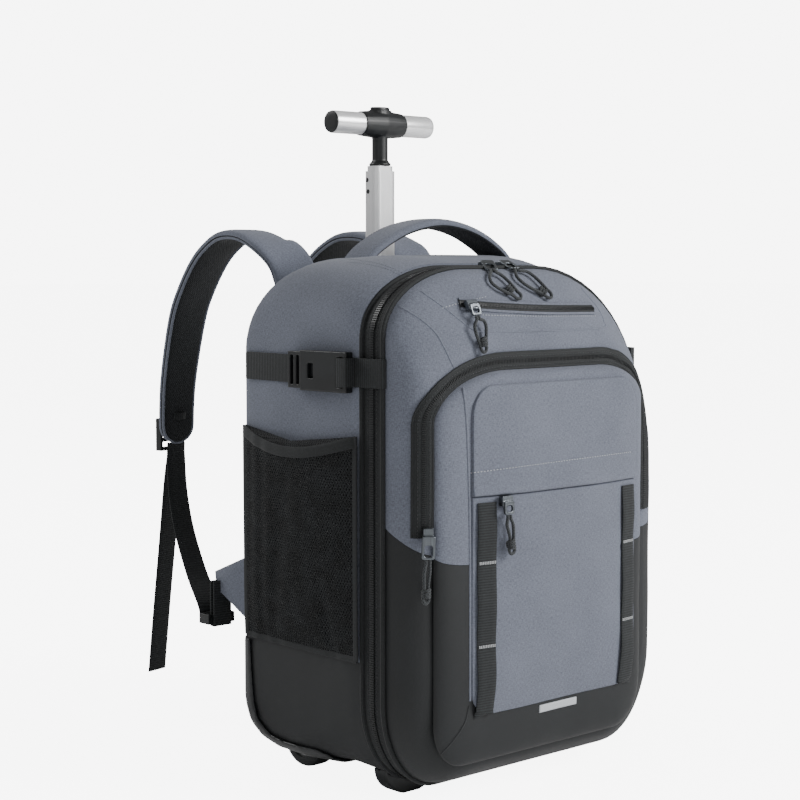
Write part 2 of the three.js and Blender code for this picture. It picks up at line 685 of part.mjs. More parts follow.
function makeSideStrap(name, side) {
  const line = strapLine(side);
  const flat = BAG_WIDTH / 2 + SEAT;
  const rear = webStrip(side, [
    [BUCKLE_REAR - 9, line.at(BUCKLE_REAR - 9)],
    [BUCKLE_REAR, line.at(BUCKLE_REAR)],
    [mix(BUCKLE_REAR, STRAP_REAR, 0.4), flat],
    [STRAP_REAR, flat],
  ]);
  addPart(`strap_rear_${name}`, fromManifold(rear.subtract(rearSolid(GAP))), 'webbing');
  const hinge = [side * line.at(BUCKLE_REAR), BUCKLE_REAR];
  const turn = -side * THREE.MathUtils.radToDeg(Math.atan(line.slope));
  const laid = (solid) => solid
    .translate([-hinge[0], -hinge[1], 0])
    .rotate([0, 0, turn])
    .translate([hinge[0], hinge[1], 0]);
  const flatBox = (lift, thickness, yRange, height) => {
    const start = line.at(BUCKLE_REAR) + lift;
    const heights = [STRAP_HEIGHT - height / 2, STRAP_HEIGHT + height / 2];
    return block(sideRange(side, start, start + thickness), yRange, heights);
  };
  const lift = WEBBING_THICKNESS + GAP;
  const through = BUCKLE_THICKNESS + 2;
  const male = flatBox(lift, BUCKLE_THICKNESS - 3, [BUCKLE_JOIN, BUCKLE_REAR], BUCKLE_HEIGHT - 3)
    .subtract(flatBox(lift - 1, through, [BUCKLE_JOIN + 4, BUCKLE_JOIN + 8], STRAP_WIDTH + 1))
    .subtract(flatBox(lift - 1, through, [BUCKLE_REAR - 7, BUCKLE_REAR - 3], STRAP_WIDTH + 1))
    .add(flatBox(lift + 2, 2.5, [BUCKLE_FRONT + 22, BUCKLE_JOIN + 1], STRAP_WIDTH - 4));
  addPart(`buckle_male_${name}`, fromManifold(laid(male)), 'plastic');
  const female = flatBox(lift, BUCKLE_THICKNESS, [BUCKLE_FRONT, BUCKLE_JOIN - GAP], BUCKLE_HEIGHT)
    .subtract(flatBox(lift + 1.5, 3.5, [BUCKLE_FRONT + 20, BUCKLE_JOIN + 2], STRAP_WIDTH - 3))
    .subtract(flatBox(lift + 4, through, [BUCKLE_JOIN - 18, BUCKLE_JOIN - 10], STRAP_WIDTH - 12))
    .subtract(flatBox(lift - 1, through, [BUCKLE_FRONT + 4, BUCKLE_FRONT + 12], STRAP_WIDTH + 1));
  addPart(`buckle_female_${name}`, fromManifold(laid(female)), 'plastic');
  const wrap = BUCKLE_THICKNESS + 2 * GAP + 2 * WEBBING_THICKNESS;
  const overBar = [BUCKLE_FRONT - 2, BUCKLE_FRONT + 10];
  const fold = flatBox(0, wrap, [BUCKLE_FRONT - 2, BUCKLE_FRONT - GAP], STRAP_WIDTH)
    .add(flatBox(0, wrap, [BUCKLE_FRONT + 4 + GAP, BUCKLE_FRONT + 6], STRAP_WIDTH))
    .add(flatBox(wrap - WEBBING_THICKNESS, WEBBING_THICKNESS, overBar, STRAP_WIDTH));
  const front = webStrip(side, [
    [STRAP_FRONT, sideReach(side, STRAP_FRONT) + SEAT],
    [ZIP_BAND_FRONT - GAP, line.at(ZIP_BAND_FRONT)],
    [BUCKLE_FRONT + 6, line.at(BUCKLE_FRONT + 6)],
  ]);
  const wrapped = front.add(laid(fold))
    .subtract(rearSolid(GAP))
    .subtract(zipSolid(GAP))
    .subtract(frontSolid(GAP));
  addPart(`strap_front_${name}`, fromManifold(wrapped), 'webbing');
}

// Strips that follow a path, with a flat oval section. across gives the width direction at each share.
function strip(path, across, width, thickness, steps) {
  const curve = new THREE.CatmullRomCurve3(path);
  const rings = [];
  for (let i = 0; i <= steps; i += 1) {
    const share = i / steps;
    const centre = curve.getPoint(share);
    const tangent = curve.getTangent(share);
    const side = across(share).clone();
    side.addScaledVector(tangent, -side.dot(tangent)).normalize();
    const normal = new THREE.Vector3().crossVectors(tangent, side);
    const taper = typeof width === 'function' ? width(share) : width;
    rings.push(STRIP_SECTION.map(([u, v]) => centre.clone()
      .addScaledVector(side, u * taper / 2)
      .addScaledVector(normal, v * thickness / 2)));
  }
  return loft(rings);
}

const STRIP_SECTION = [
  [-1, -0.4], [-1, 0.4], [-0.86, 1], [0.86, 1],
  [1, 0.4], [1, -0.4], [0.86, -1], [-0.86, -1],
];

function makeTopHandle() {
  const half = HANDLE_SPAN / 2 - HANDLE_THICKNESS / 2;
  const rise = HANDLE_TOP - HANDLE_THICKNESS / 2;
  const base = BAG_HEIGHT - 14;
  const arch = [-1, -0.78, -0.42, 0, 0.42, 0.78, 1].map((share) => {
    const height = base + (rise - base) * Math.pow(Math.cos(share * Math.PI / 2), 0.75);
    return v3(share * half, HANDLE_CENTRE_Y, height);
  });
  const solid = toManifold(strip(arch, () => v3(0, 1, 0), HANDLE_WIDTH, HANDLE_THICKNESS, 24));
  addPart('top_handle', fromManifold(solid.subtract(rearSolid(GAP))), 'grey');
}

// Back panel with a channel for the pole's sleeve
const SLEEVE_HALF_WIDTH = POLE_WIDTH / 2 + STAGE_CLEARANCE + TUBE_WALL;
const SLEEVE_HALF_DEPTH = POLE_THICK / 2 + STAGE_CLEARANCE + TUBE_WALL;

function makeBackPanel() {
  const form = {
    half: BACK_PANEL_WIDTH / 2,
    low: BACK_PANEL_BOTTOM,
    high: BACK_PANEL_TOP,
    left: { rx: 60, rz: 40 },
    right: { rx: 60, rz: 40 },
    foot: { rx: 24, rz: 24 },
  };
  const start = BACK_FACE + GAP;
  const rings = [
    ringAt(grownOutline(form, 0), start),
    ringAt(grownOutline(form, 0), start + BACK_PANEL_THICKNESS * 0.6),
    ringAt(grownOutline(form, -4), start + BACK_PANEL_THICKNESS * 0.92),
    ringAt(grownOutline(form, -9), start + BACK_PANEL_THICKNESS),
  ];
  const channel = block(
    [-SLEEVE_HALF_WIDTH - GAP, SLEEVE_HALF_WIDTH + GAP],
    [0, POLE_Y + SLEEVE_HALF_DEPTH + GAP],
    [0, BAG_HEIGHT],
  );
  addPart('back_panel', fromManifold(toManifold(loft(rings)).subtract(channel)), 'mesh');
}

const PANEL_REAR = BACK_FACE + GAP + BACK_PANEL_THICKNESS;

// Shoulder strap routes as shares: out of SHOULDER_REACH behind the panel, rise between the strap's end
// and its top, and left or right of SHOULDER_X. Both straps lean to the left.
const SHOULDER_ROUTE = [
  { out: 0.0, rise: 0.64, left: 1.0, right: 1.0 },
  { out: 0.0, rise: 0.76, left: 1.05, right: 0.95 },
  { out: 0.01, rise: 0.87, left: 1.18, right: 0.88 },
  { out: 0.07, rise: 0.94, left: 1.33, right: 0.8 },
  { out: 0.22, rise: 0.99, left: 1.38, right: 0.72 },
  { out: 0.395, rise: 0.99, left: 1.39, right: 0.68 },
  { out: 0.54, rise: 0.94, left: 1.39, right: 0.66 },
  { out: 0.66, rise: 0.866, left: 1.39, right: 0.65 },
  { out: 0.775, rise: 0.755, left: 1.39, right: 0.65 },
  { out: 0.86, rise: 0.634, left: 1.4, right: 0.65 },
  { out: 0.93, rise: 0.463, left: 1.4, right: 0.65 },
  { out: 0.978, rise: 0.3, left: 1.4, right: 0.65 },
  { out: 0.995, rise: 0.19, left: 1.4, right: 0.65 },
  { out: 1.0, rise: 0.11, left: 1.4, right: 0.65 },
  { out: 1.0, rise: 0.0, left: 1.4, right: 0.65 },
];

function shoulderPoint(name, side, row) {
  const start = PANEL_REAR + GAP + SHOULDER_THICKNESS / 2;
  return v3(
    side * SHOULDER_X * row[name],
    start + row.out * SHOULDER_REACH[name],
    mix(SHOULDER_END_HEIGHT, SHOULDER_TOP_HEIGHT, row.rise),
  );
}

function makeShoulderStrap(name, side) {
  const path = SHOULDER_ROUTE.map((row) => shoulderPoint(name, side, row));
  const splay = -side * THREE.MathUtils.degToRad(SHOULDER_SPLAY);
  const turn = (share) => splay * THREE.MathUtils.smoothstep(share, 0.12, 0.3);
  const across = (share) => v3(Math.cos(turn(share)), Math.sin(turn(share)), 0);
  const width = (share) => SHOULDER_WIDTH * (share > 0.96 ? 0.8 : 1);
  addPart(`shoulder_strap_${name}`, strip(path, across, width, SHOULDER_THICKNESS, 28), 'grey');
  makeShoulderWebbing(name, side, path[path.length - 1], splay);
}

// Ladder lock behind the strap's end, adjusting webbing down to the hook, and its free tail
const LOCK = { width: 34, height: 34, thickness: 8, slot: 6, rim: 3.5 };
const WEB_ROUTE = [
  { aside: 0.0, back: 0.0, fall: 0.0 },
  { aside: 0.03, back: 0.01, fall: 0.08 },
  { aside: 0.2, back: 0.12, fall: 0.3 },
  { aside: 0.42, back: 0.32, fall: 0.52 },
  { aside: 0.7, back: 0.63, fall: 0.74 },
  { aside: 1.0, back: 0.95, fall: 0.9 },
  { aside: 1.0, back: 1.0, fall: 1.0 },
];
const TAIL_ROUTE = [
  { away: 0.0, fall: 0.0 },
  { away: 0.04, fall: 0.05 },
  { away: 0.2, fall: 0.17 },
  { away: 0.42, fall: 0.4 },
  { away: 0.72, fall: 0.7 },
  { away: 1.0, fall: 1.0 },
];

function makeShoulderWebbing(name, side, end, splay) {
  const near = SHOULDER_THICKNESS / 2 + GAP;
  const low = -LOCK.height / 4;
  const half = LOCK.width / 2;
  const lockSlot = (z) => block(
    [LOCK.rim - half, half - LOCK.rim],
    [near - 1, near + LOCK.thickness + 1],
    [z, z + LOCK.slot],
  );
  const lock = block([-half, half], [near, near + LOCK.thickness], [low, low + LOCK.height])
    .subtract(lockSlot(low + LOCK.rim))
    .subtract(lockSlot(low + 2 * LOCK.rim + LOCK.slot))
    .rotate([0, 0, THREE.MathUtils.radToDeg(splay)])
    .translate(end.toArray());
  addPart(`ladder_lock_${name}`, fromManifold(lock), 'plastic');
  const hook = v3(side * ANCHOR_X, BACK_FACE + ANCHOR_REACH, HOOK_HEIGHT);
  const start = v3(end.x, end.y, end.z + WEB_THICKNESS);
  const goal = v3(hook.x, hook.y + HOOK.depth / 2 + GAP + WEB_THICKNESS / 2, hook.z - HOOK.height / 2);
  const mainPath = WEB_ROUTE.map((row) => v3(
    mix(start.x, goal.x, row.aside),
    mix(start.y, goal.y, row.back),
    mix(start.z, goal.z, row.fall),
  ));
  const tailPath = TAIL_ROUTE.map((row) => v3(
    start.x,
    start.y + row.away * TAIL_DRIFT,
    start.z - row.fall * TAIL_LENGTH,
  ));
  const turn = (share) => splay * (1 - share);
  const across = (share) => v3(Math.cos(turn(share)), Math.sin(turn(share)), 0);
  const main = toManifold(strip(mainPath, across, WEB_WIDTH, WEB_THICKNESS, 16));
  const tail = toManifold(strip(tailPath, () => across(0), WEB_WIDTH - 1, WEB_THICKNESS, 12));
  const webbing = main.add(tail).trimByPlane([0, 0, -1], GAP - end.z);
  addPart(`adjust_webbing_${name}`, fromManifold(webbing), 'webbing');
  makeHook(name, hook);
  makeAnchorTab(name, hook);
}

const HOOK = { width: 32, depth: 16, height: 10, rim: 3, slot: 4 };

function makeHook(name, at) {
  const inside = [at.x - HOOK.width / 2 + HOOK.rim, at.x + HOOK.width / 2 - HOOK.rim];
  const through = [at.z - HOOK.height, at.z + HOOK.height];
  const frontSlot = at.y - HOOK.depth / 2 + HOOK.rim;
  const rearSlot = at.y + HOOK.depth / 2 - HOOK.rim;
  const hook = block(
    [at.x - HOOK.width / 2, at.x + HOOK.width / 2],
    [at.y - HOOK.depth / 2, at.y + HOOK.depth / 2],
    [at.z - HOOK.height / 2, at.z + HOOK.height / 2],
  ).subtract(block(inside, [frontSlot, frontSlot + HOOK.slot], through))
    .subtract(block(inside, [rearSlot - HOOK.slot, rearSlot], through));
  addPart(`lower_hook_${name}`, fromManifold(hook), 'plastic');
}

// Triangular cloth tab sewn at the lower corner, with a webbing loop round the hook's front bar
const TAB = { foot: 134, head: 212, tipLow: 168, tipHigh: 184, thickness: 4 };

function makeAnchorTab(name, hook) {
  const root = BACK_FACE + GAP;
  const tip = root + ANCHOR_REACH;
  const corners = [[root, TAB.head], [tip, TAB.tipHigh], [tip - 2, TAB.tipLow], [root, TAB.foot]];
  const sides = [hook.x - TAB.thickness / 2, hook.x + TAB.thickness / 2];
  const tab = toManifold(loft(sides.map((x) => corners.map(([y, z]) => v3(x, y, z)))));
  const web = [hook.x - WEB_WIDTH / 2 + 2, hook.x + WEB_WIDTH / 2 - 2];
  const bar = [hook.y - HOOK.depth / 2, hook.y - HOOK.depth / 2 + HOOK.rim];
  const reach = [bar[0] - GAP - WEB_THICKNESS, bar[1] + GAP + WEB_THICKNESS];
  const low = hook.z - HOOK.height / 2 - GAP - WEB_THICKNESS;
  const high = (TAB.tipLow + TAB.tipHigh) / 2;
  const loop = block(web, [reach[0], bar[0] - GAP], [low, high])
    .add(block(web, [bar[1] + GAP, reach[1]], [low, high]))
    .add(block(web, reach, [low, low + WEB_THICKNESS]));
  addPart(`anchor_tab_${name}`, fromManifold(tab.add(loop)), 'grey');
}

// Wheels, guards and feet

const WHEEL_HEIGHT = GROUND + WHEEL_RADIUS;

function wheelWell(side, grow) {
  const half = WHEEL_WIDTH / 2 + WHEEL_CLEARANCE + GUARD_WALL + grow;
  return block(
    sideRange(side, WHEEL_X - half, WHEEL_X + half),
    [WELL_FRONT - grow, BACK_FACE + BACK_WALL],
    [-WHEEL_RADIUS, WELL_HEIGHT + grow],
  );
}

// The guard's edge on the bag's side: forward from the back face in GUARD_REACH, up in GUARD_HEIGHT
const GUARD_EDGE = [
  { forward: 0.114, up: 1.0 },
  { forward: 0.138, up: 0.73 },
  { forward: 0.162, up: 0.556 },
  { forward: 0.218, up: 0.436 },
  { forward: 0.354, up: 0.345 },
  { forward: 0.498, up: 0.325 },
  { forward: 0.85, up: 0.33 },
  { forward: 0.94, up: 0.3 },
  { forward: 1.0, up: 0.22 },
];

function guardRegion(side) {
  const inner = GUARD_EDGE.map((row) => [BACK_FACE - row.forward * GUARD_REACH, row.up * GUARD_HEIGHT]);
  const beyond = BACK_FACE + BACK_WALL;
  const outer = [[inner[inner.length - 1][0], -BACK_WALL], [beyond, -BACK_WALL], [beyond, GUARD_HEIGHT]];
  const corners = inner.concat(outer);
  const reach = sideRange(side, WHEEL_X - WHEEL_WIDTH / 2 - WHEEL_CLEARANCE - GUARD_WALL, BAG_WIDTH);
  const shape = new THREE.Shape(corners.map(([y, z]) => new THREE.Vector2(y, z)));
  const geometry = new THREE.ExtrudeGeometry(shape, { depth: reach[1] - reach[0], bevelEnabled: false });
  geometry.rotateX(Math.PI / 2);
  geometry.rotateZ(Math.PI / 2);
  geometry.translate(reach[0], 0, 0);
  const behindPanel = block(
    sideRange(side, 0, BAG_WIDTH / 2 - GUARD_RIM),
    [BACK_FACE - BACK_WALL, beyond],
    [WELL_HEIGHT, GUARD_HEIGHT + GAP],
  );
  return toManifold(geometry).subtract(behindPanel);
}

function makeGuard(name, side) {
  const skin = rearSolid(GUARD_SKIN + GAP);
  const room = WHEEL_WIDTH / 2 + WHEEL_CLEARANCE;
  const wheelRoom = block(
    sideRange(side, WHEEL_X - room, WHEEL_X + room),
    [WHEEL_Y - WHEEL_RADIUS - WHEEL_CLEARANCE, BACK_FACE + BACK_WALL],
    [-WHEEL_RADIUS, WHEEL_HEIGHT + WHEEL_RADIUS + WHEEL_CLEARANCE],
  );
  const bore = WHEEL_WIDTH / 2 + GUARD_WALL + GAP;
  const axleBore = toManifold(cylinderAlongX(
    AXLE_RADIUS + GAP,
    side * WHEEL_X - bore,
    side * WHEEL_X + bore,
    WHEEL_Y,
    WHEEL_HEIGHT,
    12,
  ));
  const guard = skin.intersect(wheelWell(side, 0))
    .add(skin.intersect(guardRegion(side)).subtract(rearSolid(GAP)))
    .subtract(wheelRoom)
    .subtract(axleBore);
  addPart(`corner_guard_${name}`, fromManifold(guard), 'plastic');
}

function makeWheel(name, side) {
  const half = WHEEL_WIDTH / 2;
  const stub = half + WHEEL_CLEARANCE + GUARD_WALL / 2;
  const near = [
    [0, -stub],
    [AXLE_RADIUS, -stub],
    [AXLE_RADIUS, 2 - half],
    [WHEEL_RADIUS - 9, 2 - half],
    [WHEEL_RADIUS - 8, -half],
    [WHEEL_RADIUS - 3, -half],
    [WHEEL_RADIUS, 4 - half],
  ];
  const far = [...near].reverse().map(([r, x]) => [r, -x]);
  const profile = near.concat(far).map(([r, x]) => new THREE.Vector2(r, x));
  const geometry = new THREE.LatheGeometry(profile, 18);
  geometry.rotateZ(-Math.PI / 2);
  geometry.translate(side * WHEEL_X, WHEEL_Y, WHEEL_HEIGHT);
  addPart(`wheel_${name}`, fromManifold(toManifold(geometry)), 'rubber');
}

function makeFoot(name, side) {
  const shape = new THREE.Shape();
  shape.absellipse(0, 0, FOOT_WIDTH / 2, FOOT_DROP, Math.PI, 2 * Math.PI);
  shape.lineTo(FOOT_WIDTH / 2, FOOT_DROP);
  shape.lineTo(-FOOT_WIDTH / 2, FOOT_DROP);
  const options = { depth: FOOT_THICKNESS, bevelEnabled: false, curveSegments: 10 };
  const geometry = new THREE.ExtrudeGeometry(shape, options);
  geometry.rotateX(Math.PI / 2);
  geometry.translate(side * FOOT_X, FOOT_Y + FOOT_THICKNESS / 2, GROUND + FOOT_DROP - FOOT_SOLE);
  const body = toManifold(geometry).subtract(rearSolid(GAP));
  const aboveGround = block([-BAG_WIDTH, BAG_WIDTH], [-BAG_WIDTH, BAG_WIDTH], [GROUND, BAG_HEIGHT]);
  addPart(`foot_${name}`, fromManifold(body.intersect(aboveGround)), 'plastic');
}

// Zip pulls. along is the zip's direction, out is away from the cloth, tip is the puller's free end, and
// cord is the loop that hangs from the puller, from the tip round its knot and back.
const PULLS = [
  {
    name: 'main_left',
    slider: [-34, -2, 486],
    along: [1, 0, 0],
    out: [0, 0, 1],
    tip: [-46, -21.5, 481],
    cord: [
      [-50.5, -25, 479.5], [-55.5, -28, 475], [-56.5, -31.5, 470], [-51.5, -34.8, 465.2],
      [-44.5, -37, 461.8], [-38, -38.6, 459.2], [-33, -40.2, 455.8], [-28.6, -40.6, 455.6],
      [-27.5, -39.4, 459], [-29.8, -37.4, 462], [-32, -34.6, 466.2], [-35, -31, 471.2],
      [-39, -27.5, 476], [-43.5, -25, 479.8],
    ],
  },
  {
    name: 'main_right',
    slider: [-12, -2, 486],
    along: [1, 0, 0],
    out: [0, 0, 1],
    tip: [-15, -19.5, 482],
    cord: [
      [-18.6, -23, 480.6], [-20.6, -27.4, 475.6], [-17.4, -31.6, 470], [-10.4, -35, 465],
      [-3, -37.2, 461.6], [3, -38.8, 459], [7.6, -40.4, 455.8], [11.8, -40.4, 456.2],
      [12.4, -38.8, 460], [9.6, -36.4, 463.6], [6.4, -32.6, 469], [2, -28, 475],
      [-4, -24.4, 479.4], [-10.6, -22.6, 481.4],
    ],
  },
  {
    name: 'quick',
    slider: [-92, -42.6, 450.6],
    along: [1, 0, 0],
    out: [0, -0.85, 0.53],
    tip: [-91, -48.5, 442],
    cord: [
      [-94.5, -49.6, 438.4], [-95.6, -50.2, 433], [-94.4, -50.4, 427], [-92, -50.6, 421.6],
      [-89.8, -51, 416.4], [-88.6, -51.4, 412.4], [-86, -51.6, 409.6], [-82.6, -51.4, 411],
      [-82, -51, 415.4], [-82, -50.6, 421], [-81.6, -50.4, 427], [-81.8, -50.2, 432.6],
      [-84, -49.8, 437], [-88, -49.6, 439.4],
    ],
  },
  {
    name: 'pocket',
    slider: [-149.5, -48.6, 254],
    along: [0, 0, 1],
    out: [-0.45, -0.89, 0],
    tip: [-151.5, -51, 233.5],
    cord: [
      [-153.8, -51, 229.8], [-155.4, -50.8, 224], [-155.8, -50.6, 217.6], [-155.4, -50.4, 211],
      [-155.6, -50.2, 204.6], [-156.4, -50, 199.6], [-154.4, -50, 195.8], [-150.8, -50, 196.6],
      [-149.6, -50.2, 200.6], [-151, -50.4, 205.4], [-151, -50.6, 211], [-150, -50.8, 217.6],
      [-149.2, -51, 224], [-149.6, -51, 229.8],
    ],
  },
  {
    name: 'lower',
    slider: [-75, -69.3, 279.6],
    along: [1, 0, 0],
    out: [0, -1, 0],
    tip: [-75, -73, 268],
    cord: [
      [-78.6, -72.6, 264.4], [-77.4, -72.8, 259], [-75.4, -72.8, 253], [-73.6, -72.8, 247],
      [-73.6, -72.8, 241], [-74.6, -72.8, 236.6], [-72.4, -72.8, 232.8], [-68.8, -72.8, 233.6],
      [-67.6, -72.8, 237.6], [-68.8, -72.8, 242], [-69, -72.8, 247], [-69.2, -72.8, 253],
      [-70, -72.8, 259], [-71.8, -72.6, 264.4],
    ],
  },
];
const CORD_STEPS = 20;
const CORD_SIDES = 8;
// From the puller's tip to the ends of its cord
const CORD_EXIT = 0.5;

function oriented(geometry, x, z, centre) {
  const y = new THREE.Vector3().crossVectors(z, x);
  geometry.applyMatrix4(new THREE.Matrix4().makeBasis(x, y, z).setPosition(centre));
  return toManifold(geometry);
}

function makePull(pull) {
  const centre = v3(...pull.slider);
  const along = v3(...pull.along);
  const out = v3(...pull.out).normalize();
  const slider = new THREE.BoxGeometry(SLIDER.length, SLIDER.width, SLIDER.height);
  const root = centre.clone().addScaledVector(out, (SLIDER.height + PULLER.thickness) / 2 - 0.5);
  const arm = v3(...pull.tip).sub(root);
  const length = arm.length();
  const down = arm.normalize();
  const face = out.clone().addScaledVector(down, -out.dot(down)).normalize();
  const middle = root.clone().addScaledVector(down, length / 2);
  const options = { depth: PULLER.thickness, bevelEnabled: false, curveSegments: 2 };
  const plate = new THREE.ExtrudeGeometry(pullerShape(length), options);
  plate.translate(0, 0, -PULLER.thickness / 2);
  const width = new THREE.Vector3().crossVectors(down, face);
  const solid = oriented(slider, along, out, centre).add(oriented(plate, width, face, middle));
  addPart(`zip_pull_${pull.name}`, fromManifold(solid), 'zip');
  const tip = v3(...pull.tip).addScaledVector(down, CORD_EXIT);
  const exits = [-1, 1].map((way) => tip.clone().addScaledVector(width, way * CORD_DIAMETER * 0.6));
  const loop = pull.cord.map((point) => v3(...point));
  exits.sort((a, b) => a.distanceTo(loop[0]) - b.distanceTo(loop[0]));
  const leads = exits.map((exit) => exit.clone().addScaledVector(down, CORD_DIAMETER));
  const path = [exits[0], leads[0], ...loop.slice(1, -1), leads[1], exits[1]];
  addPart(`zip_cord_${pull.name}`, cordGeometry(path), 'cord');
}

// A ring puller, its free end towards +y
function pullerShape(length) {
  const shape = roundedShape(PULLER.width, length, PULLER.rim);
  const hole = roundedShape(PULLER.width - 2 * PULLER.rim, length / 2, PULLER.rim);
  const points = hole.getPoints(2).map((p) => new THREE.Vector2(p.x, p.y + length / 4 - PULLER.rim));
  shape.holes.push(new THREE.Path(points.reverse()));
  return shape;
}

function cordGeometry(points) {
  const section = [];
  for (let i = 0; i < CORD_SIDES; i += 1) {
    const turn = (i / CORD_SIDES) * 2 * Math.PI;
    section.push(new THREE.Vector2(Math.cos(turn), Math.sin(turn)).multiplyScalar(CORD_DIAMETER / 2));
  }
  const options = { steps: CORD_STEPS, extrudePath: new THREE.CatmullRomCurve3(points) };
  return fromManifold(toManifold(new THREE.ExtrudeGeometry(new THREE.Shape(section), options)));
}

// Telescopic pole

function tubeGeometry(width, depth, wall, bottom, top) {
  const outer = roundedShape(width, depth, depth / 3);
  const hole = roundedShape(width - 2 * wall, depth - 2 * wall, depth / 3 - wall);
  outer.holes.push(new THREE.Path(hole.getPoints(4).reverse()));
  const options = { depth: top - bottom, bevelEnabled: false, curveSegments: 4 };
  const geometry = new THREE.ExtrudeGeometry(outer, options);
  geometry.translate(0, POLE_Y, bottom);
  return geometry;
}

function makePole() {
  const step = 2 * (TUBE_WALL + STAGE_CLEARANCE);
  const stages = [
    { name: 'sleeve', grow: step, length: SLEEVE_TOP - SLEEVE_BOTTOM, top: SLEEVE_TOP, finish: 'plastic' },
    { name: 'tube_lower', grow: 0, length: LOWER_TUBE_LENGTH, top: LOWER_TUBE_TOP, finish: 'aluminium' },
    { name: 'tube_upper', grow: -step, length: UPPER_TUBE_LENGTH, top: UPPER_TUBE_TOP, finish: 'aluminium' },
  ];
  for (const { name, grow, length, top, finish } of stages) {
    const tube = tubeGeometry(POLE_WIDTH + grow, POLE_THICK + grow, TUBE_WALL, top - length, top);
    addPart(`pole_${name}`, tube, finish);
  }
}

function makeHub() {
  const neckTop = GRIP_HEIGHT - GRIP_RADIUS;
  const foot = UPPER_TUBE_TOP + GAP;
  const neckProfile = [
    [0, foot],
    [POLE_THICK / 2 + 1, foot],
    [POLE_THICK / 2 + 1, foot + 2],
    [NECK_RADIUS, foot + 5],
    [NECK_RADIUS, neckTop],
    [NECK_RADIUS + 5, neckTop + 5],
    [0, neckTop + 5],
  ].map(([r, z]) => new THREE.Vector2(r, z));
  const neck = new THREE.LatheGeometry(neckProfile, 14);
  neck.rotateX(Math.PI / 2);
  neck.translate(0, POLE_Y, 0);
  const half = HUB_LENGTH / 2;
  const barrelProfile = [
    [0, -half],
    [GRIP_RADIUS + 1, -half],
    [HUB_RADIUS - 1, -half * GRIP_SEAT],
    [HUB_RADIUS, 0],
    [HUB_RADIUS - 1, half * GRIP_SEAT],
    [GRIP_RADIUS + 1, half],
    [0, half],
  ].map(([r, x]) => new THREE.Vector2(r, x));
  const barrel = new THREE.LatheGeometry(barrelProfile, 18);
  barrel.rotateZ(-Math.PI / 2);
  barrel.translate(0, POLE_Y, GRIP_HEIGHT);
  const crown = ovalPost(BUTTON_WIDTH / 2 + 2, BUTTON_DEPTH / 2 + 2, GRIP_HEIGHT, BUTTON_TOP - 3);
  const buttonFoot = BUTTON_TOP - BUTTON_HEIGHT;
  const roomFloor = buttonFoot - BUTTON_STROKE - GAP;
  const buttonRoom = ovalPost(BUTTON_WIDTH / 2 + GAP, BUTTON_DEPTH / 2 + GAP, roomFloor, BUTTON_TOP + 1);
  const bore = (from, to) => toManifold(cylinderAlongX(GRIP_RADIUS + GAP, from, to, POLE_Y, GRIP_HEIGHT));
  const hub = toManifold(barrel).add(toManifold(neck)).add(crown)
    .subtract(bore(-GRIP_LENGTH, -half * GRIP_SEAT))
    .subtract(bore(half * GRIP_SEAT, GRIP_LENGTH))
    .subtract(buttonRoom);
  addPart('handle_hub', fromManifold(hub), 'plastic');
  const button = ovalPost(BUTTON_WIDTH / 2, BUTTON_DEPTH / 2, buttonFoot, BUTTON_TOP);
  addPart('release_button', fromManifold(button), 'plastic');
}

function ovalPost(rx, ry, bottom, top) {
  const geometry = new THREE.CylinderGeometry(1, 1, top - bottom, 16);
  geometry.rotateX(Math.PI / 2);
  geometry.scale(rx, ry, 1);
  geometry.translate(0, POLE_Y, (top + bottom) / 2);
  return toManifold(geometry);
}

function makeGrip(name, side) {
  const start = HUB_LENGTH / 2 * GRIP_SEAT + GAP;
  const end = GRIP_LENGTH / 2;
  const wall = 1.5;
  const inside = GRIP_RADIUS - wall;
  const profile = [[inside, start], [GRIP_RADIUS, start], [GRIP_RADIUS, end], [inside, end]];
  const capEdge = GRIP_RADIUS - 0.4;
  const plug = [
    [0, end - 8],
    [inside - GAP, end - 8],
    [inside - GAP, end + GAP],
    [capEdge, end + GAP],
    [capEdge, end + wall],
    [0, end + wall],
  ];
  const spin = (rows, closed) => {
    const points = rows.map(([r, x]) => new THREE.Vector2(r, x));
    if (closed) {
      points.push(points[0].clone());
    }
    const geometry = new THREE.LatheGeometry(points, 18);
    geometry.rotateZ(-Math.PI / 2);
    if (side < 0) {
      geometry.rotateY(Math.PI);
    }
    geometry.translate(0, POLE_Y, GRIP_HEIGHT);
    return fromManifold(toManifold(geometry));
  };
  addPart(`grip_tube_${name}`, spin(profile, true), 'aluminium');
  addPart(`grip_cap_${name}`, spin(plug, false), 'plastic');
}

makeRearShell();
makeZipBand();
makeFrontShell();
makePocketShell();
makePocketZip();
makeFrontPanels();
makeQuickZip();
makeTopHandle();
makeBackPanel();
makePole();
makeHub();
for (const [name, side] of SIDES) {
  makeMeshPocket(name, side);
  makeSideStrap(name, side);
  makeShoulderStrap(name, side);
  makeGuard(name, side);
  makeWheel(name, side);
  makeFoot(name, side);
  makeGrip(name, side);
}
PULLS.forEach(makePull);

// The origin goes to the middle of the bag's base
const body = new THREE.Box3();
for (const mesh of bag.children.filter((child) => !child.name.startsWith('zip_cord'))) {
  body.expandByObject(mesh);
}
const centre = body.getCenter(v3(0, 0, 0));
bag.position.set(-centre.x, -centre.y, -body.min.z);

export default bag;
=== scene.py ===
# Wheeled backpack: soft grey and black cloth body, one telescopic pole and two corner wheels.
# Sizes in the tables are millimetres in the bag's own frame, where y = 0 is the plane of the main zip.
import math

import bmesh
import bpy
from mathutils import Matrix, Vector, noise
from mathutils.bvhtree import BVHTree


